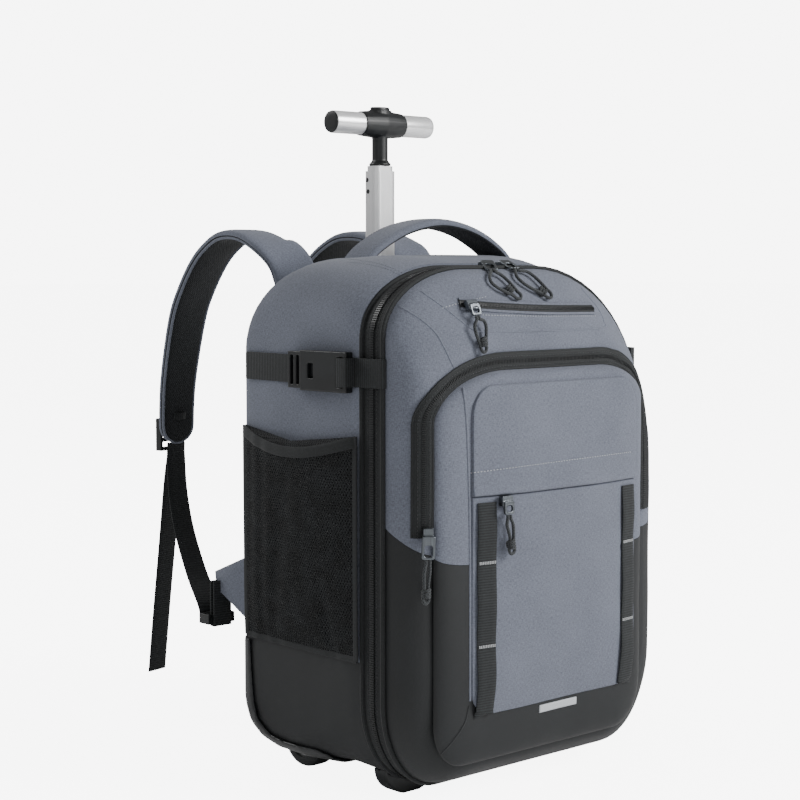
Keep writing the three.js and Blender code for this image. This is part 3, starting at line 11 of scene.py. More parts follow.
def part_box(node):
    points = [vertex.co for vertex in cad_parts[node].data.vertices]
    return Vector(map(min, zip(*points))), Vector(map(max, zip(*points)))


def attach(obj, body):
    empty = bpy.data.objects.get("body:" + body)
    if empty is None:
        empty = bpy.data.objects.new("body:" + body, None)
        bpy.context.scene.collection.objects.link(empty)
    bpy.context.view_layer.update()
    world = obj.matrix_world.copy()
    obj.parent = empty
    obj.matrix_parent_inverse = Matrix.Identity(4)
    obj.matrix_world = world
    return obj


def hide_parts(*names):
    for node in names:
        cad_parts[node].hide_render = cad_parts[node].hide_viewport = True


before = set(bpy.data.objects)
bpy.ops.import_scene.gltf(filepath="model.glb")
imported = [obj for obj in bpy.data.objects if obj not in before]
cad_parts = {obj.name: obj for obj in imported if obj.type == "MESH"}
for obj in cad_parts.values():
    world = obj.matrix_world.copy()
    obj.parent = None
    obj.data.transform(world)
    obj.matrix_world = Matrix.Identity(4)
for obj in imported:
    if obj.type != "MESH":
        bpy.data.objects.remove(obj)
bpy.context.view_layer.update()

MM = 0.001
GAP = 0.3

# The rear shell's front rim and its lower edge, in the bag's own frame, give the frame's origin
REAR_START = 17.3
BLACK_BASE_HEIGHT = 135.0
shell_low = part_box("rear_shell")[0]
ORIGIN = Vector((0.0, shell_low[1] - REAR_START * MM, shell_low[2] - (BLACK_BASE_HEIGHT + GAP / 2) * MM))


def place(x, y, z):
    return ORIGIN + Vector((x, y, z)) * MM


def unplace(point):
    return (Vector(point) - ORIGIN) / MM


# Camera: the photograph's view, worked out from the bag's vertical and level edges
PHOTO_SIDE = 800
LENS_MM = 81.0
SENSOR_MM = 36.0
VIEW_TURN = math.radians(42.0)
VIEW_PITCH = math.radians(4.447)
CAMERA_SPOT = (-1192.3, -1171.0, 490.0)
FOCAL_PIXELS = LENS_MM / SENSOR_MM * PHOTO_SIDE

VIEW_AHEAD = Vector((
    math.sin(VIEW_TURN) * math.cos(VIEW_PITCH),
    math.cos(VIEW_TURN) * math.cos(VIEW_PITCH),
    -math.sin(VIEW_PITCH),
))
VIEW_RIGHT = VIEW_AHEAD.cross(Vector((0, 0, 1))).normalized()
VIEW_UP = VIEW_RIGHT.cross(VIEW_AHEAD)


def make_camera():
    data = bpy.data.cameras.new("photo_camera")
    data.lens = LENS_MM
    data.sensor_width = SENSOR_MM
    camera = bpy.data.objects.new("photo_camera", data)
    turn = Matrix((VIEW_RIGHT, VIEW_UP, -VIEW_AHEAD)).transposed().to_4x4()
    camera.matrix_world = Matrix.Translation(place(*CAMERA_SPOT)) @ turn
    bpy.context.scene.collection.objects.link(camera)
    bpy.context.scene.camera = camera


def pixel_ray(px, py):
    half = PHOTO_SIDE / 2
    return (VIEW_AHEAD * FOCAL_PIXELS + VIEW_RIGHT * (px - half) - VIEW_UP * (py - half)).normalized()


make_camera()


# Shader maths

class Wire:
    """A socket's value. Expressions on it add their Math nodes."""

    def __init__(self, finish, socket):
        self.finish = finish
        self.socket = socket

    def math(self, operation, *values):
        node = self.finish.node("ShaderNodeMath", {"operation": operation}, dict(enumerate(values)))
        return Wire(self.finish, node.outputs[0])

    def __add__(self, other):
        return self.math("ADD", self, other)

    def __sub__(self, other):
        return self.math("SUBTRACT", self, other)

    def __rsub__(self, other):
        return self.math("SUBTRACT", other, self)

    def __mul__(self, other):
        return self.math("MULTIPLY", self, other)

    def __truediv__(self, other):
        return self.math("DIVIDE", self, other)

    def __gt__(self, other):
        return self.math("GREATER_THAN", self, other)

    def __lt__(self, other):
        return self.math("LESS_THAN", self, other)

    __radd__ = __add__
    __rmul__ = __mul__

    def wave(self, pitch):
        """A sine from 0 to 1 that repeats every pitch"""
        return self.math("SINE", self * (2 * math.pi / pitch)) * 0.5 + 0.5

    def size(self):
        return self.math("ABSOLUTE", self)

    def least(self, other):
        return self.math("MINIMUM", self, other)

    def most(self, other):
        return self.math("MAXIMUM", self, other)

    def share(self, pitch):
        """The place within each pitch, from 0 to 1"""
        return self.math("FRACT", self / pitch)

    def step(self, low, high):
        """0 under low and 1 over high, with a soft step between"""
        settings = {"interpolation_type": "SMOOTHSTEP"}
        sockets = {"Value": self, "From Min": low, "From Max": high}
        node = self.finish.node("ShaderNodeMapRange", settings, sockets)
        return Wire(self.finish, node.outputs[0])


def tone(code):
    """A linear colour from its usual six-digit code"""
    channels = [int(code[i:i + 2], 16) / 255 for i in (0, 2, 4)]
    return tuple(c / 12.92 if c <= 0.04045 else ((c + 0.055) / 1.055) ** 2.4 for c in channels) + (1.0,)


class Finish:
    """A material on one Principled shader"""

    def __init__(self, name, roughness=0.6, metallic=0.0, **plain):
        self.material = bpy.data.materials.new(name)
        self.material.use_nodes = True
        self.tree = self.material.node_tree
        self.tree.nodes.clear()
        self.shader = self.node("ShaderNodeBsdfPrincipled", sockets={"Roughness": roughness, "Metallic": metallic})
        for socket, value in plain.items():
            self.shader.inputs[socket.replace("_", " ")].default_value = value
        self.node("ShaderNodeOutputMaterial", sockets={"Surface": self.shader.outputs[0]})

    def node(self, kind, settings=None, sockets=None):
        made = self.tree.nodes.new(kind)
        for key, value in (settings or {}).items():
            if key == "stops":
                for stop, (position, colour) in zip(made.color_ramp.elements, value):
                    stop.position = position
                    stop.color = colour
            else:
                setattr(made, key, value)
        for key, value in (sockets or {}).items():
            self.feed(made.inputs[key], value)
        return made

    def feed(self, socket, value):
        if isinstance(value, Wire):
            value = value.socket
        if isinstance(value, bpy.types.NodeSocket):
            self.tree.links.new(value, socket)
        else:
            socket.default_value = value

    def set(self, socket, value):
        self.feed(self.shader.inputs[socket], value)

    def axes(self):
        """x, y and z on the object, in millimetres"""
        spot = self.node("ShaderNodeTexCoord").outputs["Object"]
        split = self.node("ShaderNodeSeparateXYZ", sockets={0: spot})
        return [Wire(self, split.outputs[i]) * (1 / MM) for i in range(3)]

    def cloth_axes(self):
        """Two directions along the surface, in millimetres, chosen by the way that it faces"""
        x, y, z = self.axes()
        normal = self.node("ShaderNodeNewGeometry").outputs["Normal"]
        facing = self.node("ShaderNodeSeparateXYZ", sockets={0: normal})
        ax, ay, az = [Wire(self, facing.outputs[i]).size() for i in range(3)]
        flat = az > 0.75
        side = (ax > ay) * (1 - flat)
        return x + (y - x) * side, z + (y - z) * flat

    def strip_axes(self):
        """Along and across a strip, in millimetres, from its own UV map"""
        spot = self.node("ShaderNodeUVMap", {"uv_map": "flow"}).outputs[0]
        split = self.node("ShaderNodeSeparateXYZ", sockets={0: spot})
        return [Wire(self, split.outputs[i]) * (1 / MM) for i in range(2)]

    def noise(self, u, v, w=0.0, detail=2.0, scale=1.0):
        """Noise from 0 to 1 on a place given in millimetres"""
        spot = self.node("ShaderNodeCombineXYZ", sockets={0: u, 1: v, 2: w})
        sockets = {"Vector": spot.outputs[0], "Scale": scale, "Detail": detail}
        return Wire(self, self.node("ShaderNodeTexNoise", sockets=sockets).outputs[0])

    def mixed(self, low, high, amount):
        """A colour between two colours or colour sockets"""
        node = self.node("ShaderNodeMix", {"data_type": "RGBA"}, {0: amount, 6: low, 7: high})
        return node.outputs[2]

    def colour(self, low, high, amount):
        """Base Color between two colour codes"""
        self.set("Base Color", self.mixed(tone(low), tone(high), amount))

    def bump(self, height, distance, strength=1.0):
        """height is 0 to 1, and distance its full size in millimetres"""
        sockets = {"Height": height, "Distance": distance * MM, "Strength": strength}
        node = self.node("ShaderNodeBump", sockets=sockets)
        self.set("Normal", node.outputs[0])


def heather_cloth(name, dark, light, thread=0.9, contrast=1.0):
    """Plain weave of two close shades, with slubs along both thread directions"""
    finish = Finish(name, roughness=0.86, Sheen_Weight=0.12, Sheen_Roughness=0.5, Specular_IOR_Level=0.3)
    u, v = finish.cloth_axes()
    across = finish.noise(u * 0.35, v * 1.6)
    along = finish.noise(u * 1.6, v * 0.35)
    cloud = finish.noise(u * 0.02, v * 0.02, detail=4.0)
    heather = (across + along - 1.0) * contrast + (cloud - 0.5) * 0.35 + 0.5
    finish.colour(dark, light, heather.step(0.05, 0.95))
    weave = u.wave(thread) * v.wave(thread) + (1 - u.wave(thread)) * (1 - v.wave(thread))
    finish.bump(weave * 0.6 + (across + along) * 0.4, 0.16, 0.55)
    return finish.material


def coated_cloth(name, dark, light):
    """Black base cloth: close weave under a thin coat that catches a soft sheen"""
    finish = Finish(name, Specular_IOR_Level=0.42, Sheen_Weight=0.06)
    u, v = finish.cloth_axes()
    grain = finish.noise(u * 1.3, v * 1.3, detail=3.0)
    cloud = finish.noise(u * 0.012, v * 0.012, detail=3.0)
    finish.colour(dark, light, (grain * 0.5 + cloud * 0.5).step(0.25, 0.75))
    finish.set("Roughness", 0.5 + cloud * 0.16)
    weave = u.wave(0.8) * v.wave(0.8)
    finish.bump(weave * 0.5 + grain * 0.5, 0.1, 0.45)
    return finish.material


def ribbed_webbing(name, dark, light, rib=2.4, run="flow"):
    """Woven webbing: ribs across it and a twill on them. run is the direction along it: its UV's, u or v."""
    finish = Finish(name, roughness=0.72, Specular_IOR_Level=0.35, Sheen_Weight=0.1)
    along, across = finish.strip_axes() if run == "flow" else finish.cloth_axes()
    if run == "v":
        along, across = across, along
    ribs = along.wave(rib)
    twill = (along + across * 0.9).wave(1.1)
    shade = finish.noise(along * 0.5, across * 0.5, detail=3.0)
    # Partly painted shade: the ribs' height makes the grooves darker and the crowns lighter; the rest is random tone.
    finish.colour(dark, light, (ribs * 0.45 + shade * 0.55).step(0.2, 0.8))
    finish.bump(ribs * 0.75 + twill * 0.25, 0.35, 0.7)
    return finish.material


def tape_cloth(name, dark, light, pitch=1.2):
    """Zip tape and binding: fine lengthwise ribs"""
    finish = Finish(name, roughness=0.7, Specular_IOR_Level=0.35, Sheen_Weight=0.08)
    u, v = finish.cloth_axes()
    fine = u.wave(pitch) * v.wave(pitch)
    shade = finish.noise(u * 0.6, v * 0.6, detail=3.0)
    finish.colour(dark, light, (fine * 0.3 + shade * 0.7).step(0.25, 0.75))
    finish.bump(fine, 0.18, 0.6)
    return finish.material


def net_with_painted_hole_shade(name, dark, light, cell=3.0, clear=0.5):
    """Diamond net: holes in offset rows, painted near black as painted shade of the cloth behind, and only partly
    seen through
    """
    finish = Finish(name, roughness=0.75, Specular_IOR_Level=0.3)
    u, v = finish.cloth_axes()
    rise = cell * 1.7
    first = (u.share(cell) - 0.5).size() * 2.0 + (v.share(rise) - 0.5).size() * 2.0
    second = ((u + cell / 2).share(cell) - 0.5).size() * 2.0 + ((v + rise / 2).share(rise) - 0.5).size() * 2.0
    hole = first.least(second)
    thread = hole.step(clear, clear + 0.16)
    shade = finish.noise(u * 0.05, v * 0.05, detail=3.0)
    body = finish.mixed(tone(dark), tone(light), shade.step(0.3, 0.7))
    # Painted shade: the holes are near black and 65 percent opaque, standing in for the shaded cloth seen through
    # them.
    finish.set("Base Color", finish.mixed(tone("050606"), body, thread))
    finish.set("Alpha", thread * 0.35 + 0.65)
    finish.bump(thread, 0.3, 0.8)
    return finish.material


def spacer_mesh(name, dark, light, cell=2.6):
    """Padded air mesh: round dimples in offset rows, their hollows painted dark as shade"""
    finish = Finish(name, roughness=0.9, Specular_IOR_Level=0.25, Sheen_Weight=0.1)
    u, v = finish.cloth_axes()
    rise = cell * 1.3
    first = u.wave(cell) * v.wave(rise)
    second = (u + cell / 2).wave(cell) * (v + rise / 2).wave(rise)
    dimple = first.most(second)
    shade = finish.noise(u * 0.06, v * 0.06, detail=3.0)
    # Painted shade: the colour follows the dimples' depth, darkest in the hollows of the bump below.
    finish.colour(light, dark, dimple.step(0.25, 0.8) * 0.85 + shade * 0.15)
    finish.bump(1 - dimple, 0.5, 0.8)
    return finish.material


def moulded_plastic(name, dark, light, roughness=0.42, grain=1.0):
    """Satin moulded plastic with a fine spark texture"""
    finish = Finish(name, Specular_IOR_Level=0.5)
    x, y, z = finish.axes()
    spark = finish.noise(x * 1.8, y * 1.8, z * 1.8, detail=3.0)
    cloud = finish.noise(x * 0.03, y * 0.03, z * 0.03, detail=2.0)
    finish.colour(dark, light, cloud.step(0.3, 0.7))
    finish.set("Roughness", roughness + (cloud - 0.5) * 0.12)
    finish.bump(spark, 0.06 * grain, 0.5)
    return finish.material


def drawn_metal(name, dark, light, roughness, along="z", metallic=1.0):
    """Polished drawn tube: fine lines along it and slight smudges"""
    finish = Finish(name, metallic=metallic)
    x, y, z = finish.axes()
    long, wide = (z, x + y) if along == "z" else (x, y + z)
    lines = finish.noise(wide * 6.0, long * 0.04, detail=3.0)
    smudge = finish.noise(x * 0.05, y * 0.05, z * 0.05, detail=3.0)
    finish.colour(dark, light, lines.step(0.2, 0.8))
    finish.set("Roughness", roughness + smudge * 0.08 + lines * 0.05)
    finish.bump(lines, 0.015, 0.25)
    return finish.material


def braided_cord(name, dark, light, pitch=2.6):
    """Round braid: crossing diagonals along the cord, painted lighter on their crowns and darker between them as
    light and shade
    """
    finish = Finish(name, roughness=0.78, Sheen_Weight=0.15)
    along, around = finish.strip_axes()
    first = (along + around * 1.3).wave(pitch)
    second = (along - around * 1.3).wave(pitch)
    braid = first.most(second)
    # Painted light and shade: the colour follows the braid's height, light on the crowns and dark in the valleys.
    finish.colour(dark, light, braid.step(0.3, 0.9))
    finish.bump(braid, 0.3, 0.8)
    return finish.material


def sewing_thread(name, colour, shade):
    finish = Finish(name, roughness=0.6, Sheen_Weight=0.2)
    x, y, z = finish.axes()
    twist = (x + y + z).wave(0.7)
    finish.colour(shade, colour, twist)
    return finish.material


def glass_bead_strip(name):
    """Retroreflective strip: pale grey with a fine bead sparkle"""
    finish = Finish(name, Specular_IOR_Level=0.6)
    u, v = finish.cloth_axes()
    bead = finish.noise(u * 3.0, v * 3.0, detail=2.0)
    finish.colour("a9adb2", "d4d7da", bead.step(0.35, 0.65))
    finish.set("Roughness", 0.34 + bead * 0.12)
    finish.bump(bead, 0.06, 0.5)
    return finish.material


GREY_CLOTH = heather_cloth("grey_heather_cloth", "575b66", "777c89")
BLACK_CLOTH = coated_cloth("black_base_cloth", "101214", "1b1e20")
BLACK_WEBBING = ribbed_webbing("black_ribbed_webbing", "0f1112", "24282a")
BLACK_TAPE = tape_cloth("black_zip_tape", "121415", "24282a")
BLACK_NET = net_with_painted_hole_shade("black_side_net", "0e1011", "1d2022")
AIR_MESH = spacer_mesh("black_air_mesh", "0c0e0f", "26292c")
SATIN_PLASTIC = moulded_plastic("black_moulded_plastic", "0f1112", "181b1d")
GUARD_PLASTIC = moulded_plastic("black_guard_plastic", "101214", "1a1d1f", roughness=0.36, grain=1.6)
BRIGHT_TUBE = drawn_metal("bright_aluminium_tube", "f0f1f3", "ffffff", 0.24, metallic=0.55)
BRIGHT_GRIP = drawn_metal("bright_aluminium_grip", "f0f1f3", "ffffff", 0.24, along="x", metallic=0.55)
GUNMETAL = drawn_metal("gunmetal_zip_metal", "4b4f53", "7c8186", 0.26)
TYRE_RUBBER = moulded_plastic("grey_tyre_rubber", "191a1b", "242628", roughness=0.62, grain=2.0)
CORD_BRAID = braided_cord("black_pull_cord", "121415", "34383b")
WHITE_THREAD = sewing_thread("white_thread", "e4e5e6", "b9bcc0")
DARK_THREAD = sewing_thread("grey_thread", "5b606c", "3e424c")
BLACK_THREAD = sewing_thread("black_thread", "24282a", "15181a")
REFLECTIVE = glass_bead_strip("pale_reflective_strip")


# Mesh making

def new_object(name, mesh):
    made = bpy.data.objects.new(name, mesh)
    bpy.context.scene.collection.objects.link(made)
    return made


def from_bmesh(name, work, material, sharp=40.0):
    mesh = bpy.data.meshes.new(name)
    work.to_mesh(mesh)
    work.free()
    mesh.polygons.foreach_set("use_smooth", [True] * len(mesh.polygons))
    mesh.set_sharp_from_angle(angle=math.radians(sharp))
    mesh.materials.clear()
    mesh.materials.append(material)
    return new_object(name, mesh)


def lofted(rings, caps=True, looped=False):
    """A bmesh through rings of equal count, with a flow UV map along the rings and round them"""
    work = bmesh.new()
    flow = work.loops.layers.uv.new("flow")
    rows = [[work.verts.new(point) for point in ring] for ring in rings]
    count = len(rings[0])
    reach = [0.0]
    for before, after in zip(rings, rings[1:]):
        reach.append(reach[-1] + (after[0] - before[0]).length)
    girth = [0.0]
    for i in range(count):
        girth.append(girth[-1] + (rings[0][(i + 1) % count] - rings[0][i]).length)
    bands = len(rows) if looped else len(rows) - 1
    for r in range(bands):
        after = (r + 1) % len(rows)
        far = reach[r + 1] if r + 1 < len(rows) else reach[r] + (rings[0][0] - rings[-1][0]).length
        for i in range(count):
            j = (i + 1) % count
            face = work.faces.new((rows[r][i], rows[r][j], rows[after][j], rows[after][i]))
            corners = ((reach[r], girth[i]), (reach[r], girth[i + 1]), (far, girth[i + 1]), (far, girth[i]))
            for loop, uv in zip(face.loops, corners):
                loop[flow].uv = uv
    if caps and not looped:
        for row in (rows[0], rows[-1]):
            middle = work.verts.new(sum((v.co for v in row), Vector()) / count)
            for i in range(count):
                work.faces.new((row[i], row[(i + 1) % count], middle))
    bmesh.ops.recalc_face_normals(work, faces=work.faces)
    work.normal_update()
    return work


def moved_out(work, amount):
    """Moves each point along its normal by amount(x, y, z, normal), in millimetres"""
    work.normal_update()
    moves = []
    for vert in work.verts:
        spot = unplace(vert.co)
        moves.append(vert.normal * amount(spot.x, spot.y, spot.z, vert.normal) * MM)
    for vert, move in zip(work.verts, moves):
        vert.co += move


def cut_at(work, spot, direction):
    """The part of a bmesh on the side that direction points away from, closed at the cut"""
    part = work.copy()
    geometry = part.verts[:] + part.edges[:] + part.faces[:]
    bmesh.ops.bisect_plane(part, geom=geometry, dist=1e-6, plane_co=spot, plane_no=direction, clear_outer=True)
    edges = [e for e in part.edges if e.is_boundary]
    bmesh.ops.holes_fill(part, edges=edges, sides=0)
    return part


def held(t):
    """A share kept between 0 and 1"""
    return min(1.0, max(0.0, t))


def eased_share(t):
    """0 to 1 with level ends, held outside them"""
    t = held(t)
    return t * t * (3 - 2 * t)


def bell(value, middle, spread):
    return math.exp(-((value - middle) / spread) ** 2)


def ripple(x, y, z, scale, seed=0.0):
    return noise.noise(Vector((x / scale + seed, y / scale - seed, z / scale + 2 * seed)))


BODY_OF = {
    "pole_tube_lower": "pole_lower",
    "pole_tube_upper": "pole_upper",
    "handle_hub": "pole_upper",
    "grip_tube_left": "pole_upper",
    "grip_tube_right": "pole_upper",
    "grip_cap_left": "pole_upper",
    "grip_cap_right": "pole_upper",
    "release_button": "button",
    "wheel_left": "wheel_left",
    "wheel_right": "wheel_right",
}


def settle(piece, slot, *nodes, body=None):
    """The piece rides on its body and stands for its nodes. slot is not used."""
    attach(piece, body or (BODY_OF.get(nodes[0], "bag") if nodes else "bag"))
    if nodes:
        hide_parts(*nodes)
    return piece


def ahead_at(line, i):
    """The way that a line runs at one of its points"""
    return (line[min(i + 1, len(line) - 1)] - line[max(i - 1, 0)]).normalized()


def frames_along(points, up=None):
    """A tangent, a side and an up direction at each point of a line"""
    frames = []
    side = None
    for i in range(len(points)):
        ahead = ahead_at(points, i)
        if up is not None:
            rise = up[i] - ahead * up[i].dot(ahead)
            side = ahead.cross(rise.normalized())
        elif side is None:
            start = Vector((0, 0, 1)) if abs(ahead.z) < 0.9 else Vector((1, 0, 0))
            side = ahead.cross(start)
        side = (side - ahead * side.dot(ahead)).normalized()
        frames.append((ahead, side, side.cross(ahead)))
    return frames


def swept(points, section, up=None, scale=None):
    """A bmesh of a section, in metres across and up, swept along points"""
    rings = []
    for i, (point, (_, side, rise)) in enumerate(zip(points, frames_along(points, up))):
        grow = scale(i / (len(points) - 1)) if scale else 1.0
        rings.append([point + (side * a + rise * b) * grow for a, b in section])
    return lofted(rings)


def in_metres(section):
    return [(across * MM, rise * MM) for across, rise in section]


def round_section(radius, sides=10):
    turns = [2 * math.pi * i / sides for i in range(sides)]
    return [(radius * math.cos(turn), radius * math.sin(turn)) for turn in turns]


def flat_section(width, thickness, edge=0.4):
    """A flat strip's section with rounded edges, as a closed loop"""
    half, rise = width / 2, thickness / 2
    inner = half - rise * 1.2
    return [
        (-half, -rise * edge), (-half, rise * edge), (-inner, rise), (-inner * 0.5, rise), (0, rise),
        (inner * 0.5, rise), (inner, rise), (half, rise * edge), (half, -rise * edge), (inner, -rise),
        (inner * 0.5, -rise), (0, -rise), (-inner * 0.5, -rise), (-inner, -rise),
    ]


def spline(points, count):
    """Evenly shared points on a smooth curve through points"""
    spots = [Vector(p) for p in points]
    ends = [spots[0] * 2 - spots[1], *spots, spots[-1] * 2 - spots[-2]]
    line = []
    spans = len(spots) - 1
    for i in range(count + 1):
        place_in = i / count * spans
        k = min(int(place_in), spans - 1)
        t = place_in - k
        a, b, c, d = ends[k:k + 4]
        bend = 2 * a - 5 * b + 4 * c - d
        twist = 3 * b - 3 * c + d - a
        line.append(0.5 * (2 * b + (c - a) * t + bend * t * t + twist * t ** 3))
    return line


def even(points, step):
    """The same line with points every step, in metres"""
    total = sum((b - a).length for a, b in zip(points, points[1:]))
    count = max(2, round(total / step))
    line = [points[0]]
    walked = 0.0
    k = 0
    for i in range(1, count):
        goal = total * i / count
        while walked + (points[k + 1] - points[k]).length < goal:
            walked += (points[k + 1] - points[k]).length
            k += 1
        span = (points[k + 1] - points[k]).length
        line.append(points[k].lerp(points[k + 1], (goal - walked) / span))
    line.append(points[-1])
    return line


# Rows of small things along a line

def row_tree(form):
    """A Geometry Nodes tree that sets one small form along a line, upright on the line's up attribute"""
    tree = bpy.data.node_groups.new(f"row_of_{form}", "GeometryNodeTree")
    for socket, kind in (("Line", "Geometry"), ("Pitch", "Float"), ("Size", "Vector"), ("Finish", "Material")):
        tree.interface.new_socket(socket, in_out="INPUT", socket_type=f"NodeSocket{kind}")
    tree.interface.new_socket("Row", in_out="OUTPUT", socket_type="NodeSocketGeometry")
    nodes = tree.nodes
    given = nodes.new("NodeGroupInput")
    result = nodes.new("NodeGroupOutput")
    line = nodes.new("GeometryNodeMeshToCurve")
    spaced = nodes.new("GeometryNodeResampleCurve")
    spaced.mode = "LENGTH"
    up = nodes.new("GeometryNodeInputNamedAttribute")
    up.data_type = "FLOAT_VECTOR"
    up.inputs["Name"].default_value = "up"
    tangent = nodes.new("GeometryNodeInputTangent")
    ahead = nodes.new("FunctionNodeAlignRotationToVector")
    ahead.axis = "X"
    upright = nodes.new("FunctionNodeAlignRotationToVector")
    upright.axis = "Z"
    upright.pivot_axis = "X"
    if form == "stitch":
        shape = nodes.new("GeometryNodeMeshIcoSphere")
        shape.inputs["Radius"].default_value = 0.5
        shape.inputs["Subdivisions"].default_value = 1
    else:
        shape = nodes.new("GeometryNodeMeshCube")
    instances = nodes.new("GeometryNodeInstanceOnPoints")
    solid = nodes.new("GeometryNodeRealizeInstances")
    coloured = nodes.new("GeometryNodeSetMaterial")
    links = [
        (given, "Line", line, "Mesh"), (line, 0, spaced, "Curve"), (given, "Pitch", spaced, "Length"),
        (tangent, 0, ahead, "Vector"), (ahead, 0, upright, "Rotation"), (up, "Attribute", upright, "Vector"),
        (spaced, 0, instances, "Points"), (shape, 0, instances, "Instance"), (upright, 0, instances, "Rotation"),
        (given, "Size", instances, "Scale"), (instances, 0, solid, 0), (solid, 0, coloured, "Geometry"),
        (given, "Finish", coloured, "Material"), (coloured, 0, result, "Row"),
    ]
    for source, output, target, socket in links:
        tree.links.new(source.outputs[output], target.inputs[socket])
    return tree


ROW_TREES = {form: row_tree(form) for form in ("stitch", "tooth")}


def row_along(name, lines, form, pitch, size, material):
    """Sets a form along lines, each a list of (point, up). pitch and size are millimetres."""
    mesh = bpy.data.meshes.new(name)
    points, edges, ups = [], [], []
    for line in lines:
        first = len(points)
        points += [point for point, _ in line]
        ups += [c for _, up in line for c in up]
        edges += [(first + i, first + i + 1) for i in range(len(line) - 1)]
    mesh.from_pydata(points, edges, [])
    attribute = mesh.attributes.new("up", "FLOAT_VECTOR", "POINT")
    attribute.data.foreach_set("vector", ups)
    source = new_object(name, mesh)
    tree = ROW_TREES[form]
    modifier = source.modifiers.new("row", "NODES")
    modifier.node_group = tree
    values = {"Pitch": pitch * MM, "Size": tuple(s * MM for s in size), "Finish": material}
    for item in tree.interface.items_tree:
        if item.in_out == "INPUT" and item.name in values:
            modifier[item.identifier] = values[item.name]
    source.data.update()
    plain = bpy.data.meshes.new_from_object(source.evaluated_get(bpy.context.evaluated_depsgraph_get()))
    source.modifiers.clear()
    source.data = plain
    if not plain.materials:
        plain.materials.append(material)
    plain.polygons.foreach_set("use_smooth", [form == "stitch"] * len(plain.polygons))
    return source


# Where lines lie on a piece

class Surface:
    """A finished piece's skin, to lay seams and stitches on"""

    def __init__(self, *pieces):
        points, faces = [], []
        for piece in pieces:
            first = len(points)
            points += [v.co.copy() for v in piece.data.vertices]
            faces += [tuple(first + i for i in p.vertices) for p in piece.data.polygons]
        self.tree = BVHTree.FromPolygons(points, faces)

    def hit(self, start, direction, lift=0.0):
        spot, normal, _, _ = self.tree.ray_cast(start, direction)
        if spot is None:
            return None
        if normal.dot(direction) > 0:
            normal = -normal
        return spot + normal * lift * MM, normal

    def from_photo(self, pixels, lift=0.0, count=40):
        """A line over the surface that the camera sees through these places of the photograph"""
        path = [(p.x, p.y) for p in spline([(x, y, 0) for x, y in pixels], count)]
        found = [self.hit(place(*CAMERA_SPOT), pixel_ray(x, y), lift) for x, y in path]
        return [f for f in found if f]


def seam(name, line, width, height, material, slot):
    """A low rounded ridge along a line on a surface, such as a turned or piped seam"""
    points = [point for point, _ in line]
    ups = [up for _, up in line]
    section = round_section(0.5, 8)
    shape = [(a * width * MM, b * height * MM) for a, b in section]
    piece = from_bmesh(name, swept(points, shape, ups), material, sharp=60)
    return settle(piece, slot)


def stitches(name, lines, material=None, pitch=3.4, length=2.3, thick=0.6, slot="grey_cloth"):
    piece = row_along(name, lines, "stitch", pitch, (length, thick, thick * 0.8), material or WHITE_THREAD)
    return settle(piece, slot)


# Outlines and section tables of the body

BAG_WIDTH = 344.0
BAG_HEIGHT = 495.0
BAG_UNDERSIDE = 22.0
REAR_DEPTH = 170.0
BACK_WALL = 20.0
ZIP_RING_WIDTH = 334.0
ZIP_RING_TOP = 482.0
ZIP_BAND_FRONT = -12.0
ZIP_BAND_REAR = 17.0
FRONT_DEPTH = 34.0
TOP_EDGE_DROP = 44.0
FOOT_EDGE_RISE = 60.0
LEFT_SHOULDER = (93.0, 60.0)
RIGHT_SHOULDER = (150.0, 150.0)
ZIP_FOOT = (62.0, 80.0)
REAR_FOOT = (20.0, 22.0)
SHELL_WALL = 5.0
FRONT_WALL = 4.0
POCKET_WALL = 3.0
BACK_FACE = REAR_START + REAR_DEPTH
FRONT_START = ZIP_BAND_FRONT - GAP
FRONT_FACE = FRONT_START - FRONT_DEPTH
FRONT_BASE_HEIGHT = 225.0
FRONT_BASE_SLOPE = 0.71
SIDES = (("left", -1), ("right", 1))

def table(columns, *rows):
    """Rows as dicts, from the columns' names"""
    return [dict(zip(columns.split(), row)) for row in rows]


REAR_ROWS = table(
    "depth width drop rise sag square",
    (0.0, 0.984, 0.18, 0.03, 1.0, 0.1), (0.08, 0.997, 0.09, 0.1, 0.92, 0.3),
    (0.25, 1.0, 0.02, 0.2, 0.66, 0.7), (0.5, 1.0, 0.0, 0.2, 0.22, 1.0),
    (0.73, 1.0, 0.05, 0.2, 0.0, 1.0), (0.85, 1.0, 0.16, 0.27, 0.0, 1.0),
    (0.925, 0.994, 0.34, 0.38, 0.0, 1.0), (0.97, 0.982, 0.61, 0.56, 0.0, 1.0),
    (1.0, 0.954, 1.0, 0.86, 0.0, 1.0),
)
FRONT_TOP_DROP = 54.0
FRONT_RISE = 26.0
FRONT_ROWS = table(
    "depth width drop rise",
    (0.0, 0.994, 0.0, 0.0), (0.2, 0.988, 0.06, 0.04), (0.46, 0.967, 0.25, 0.16),
    (0.7, 0.934, 0.49, 0.35), (0.9, 0.88, 0.74, 0.62), (1.0, 0.814, 1.0, 1.0),
)


def mix(a, b, t):
    return a + (b - a) * t


def mix_pair(a, b, t):
    return (mix(a[0], b[0], t), mix(a[1], b[1], t))


def grown(pair, by):
    return (pair[0] + by, pair[1] + by)


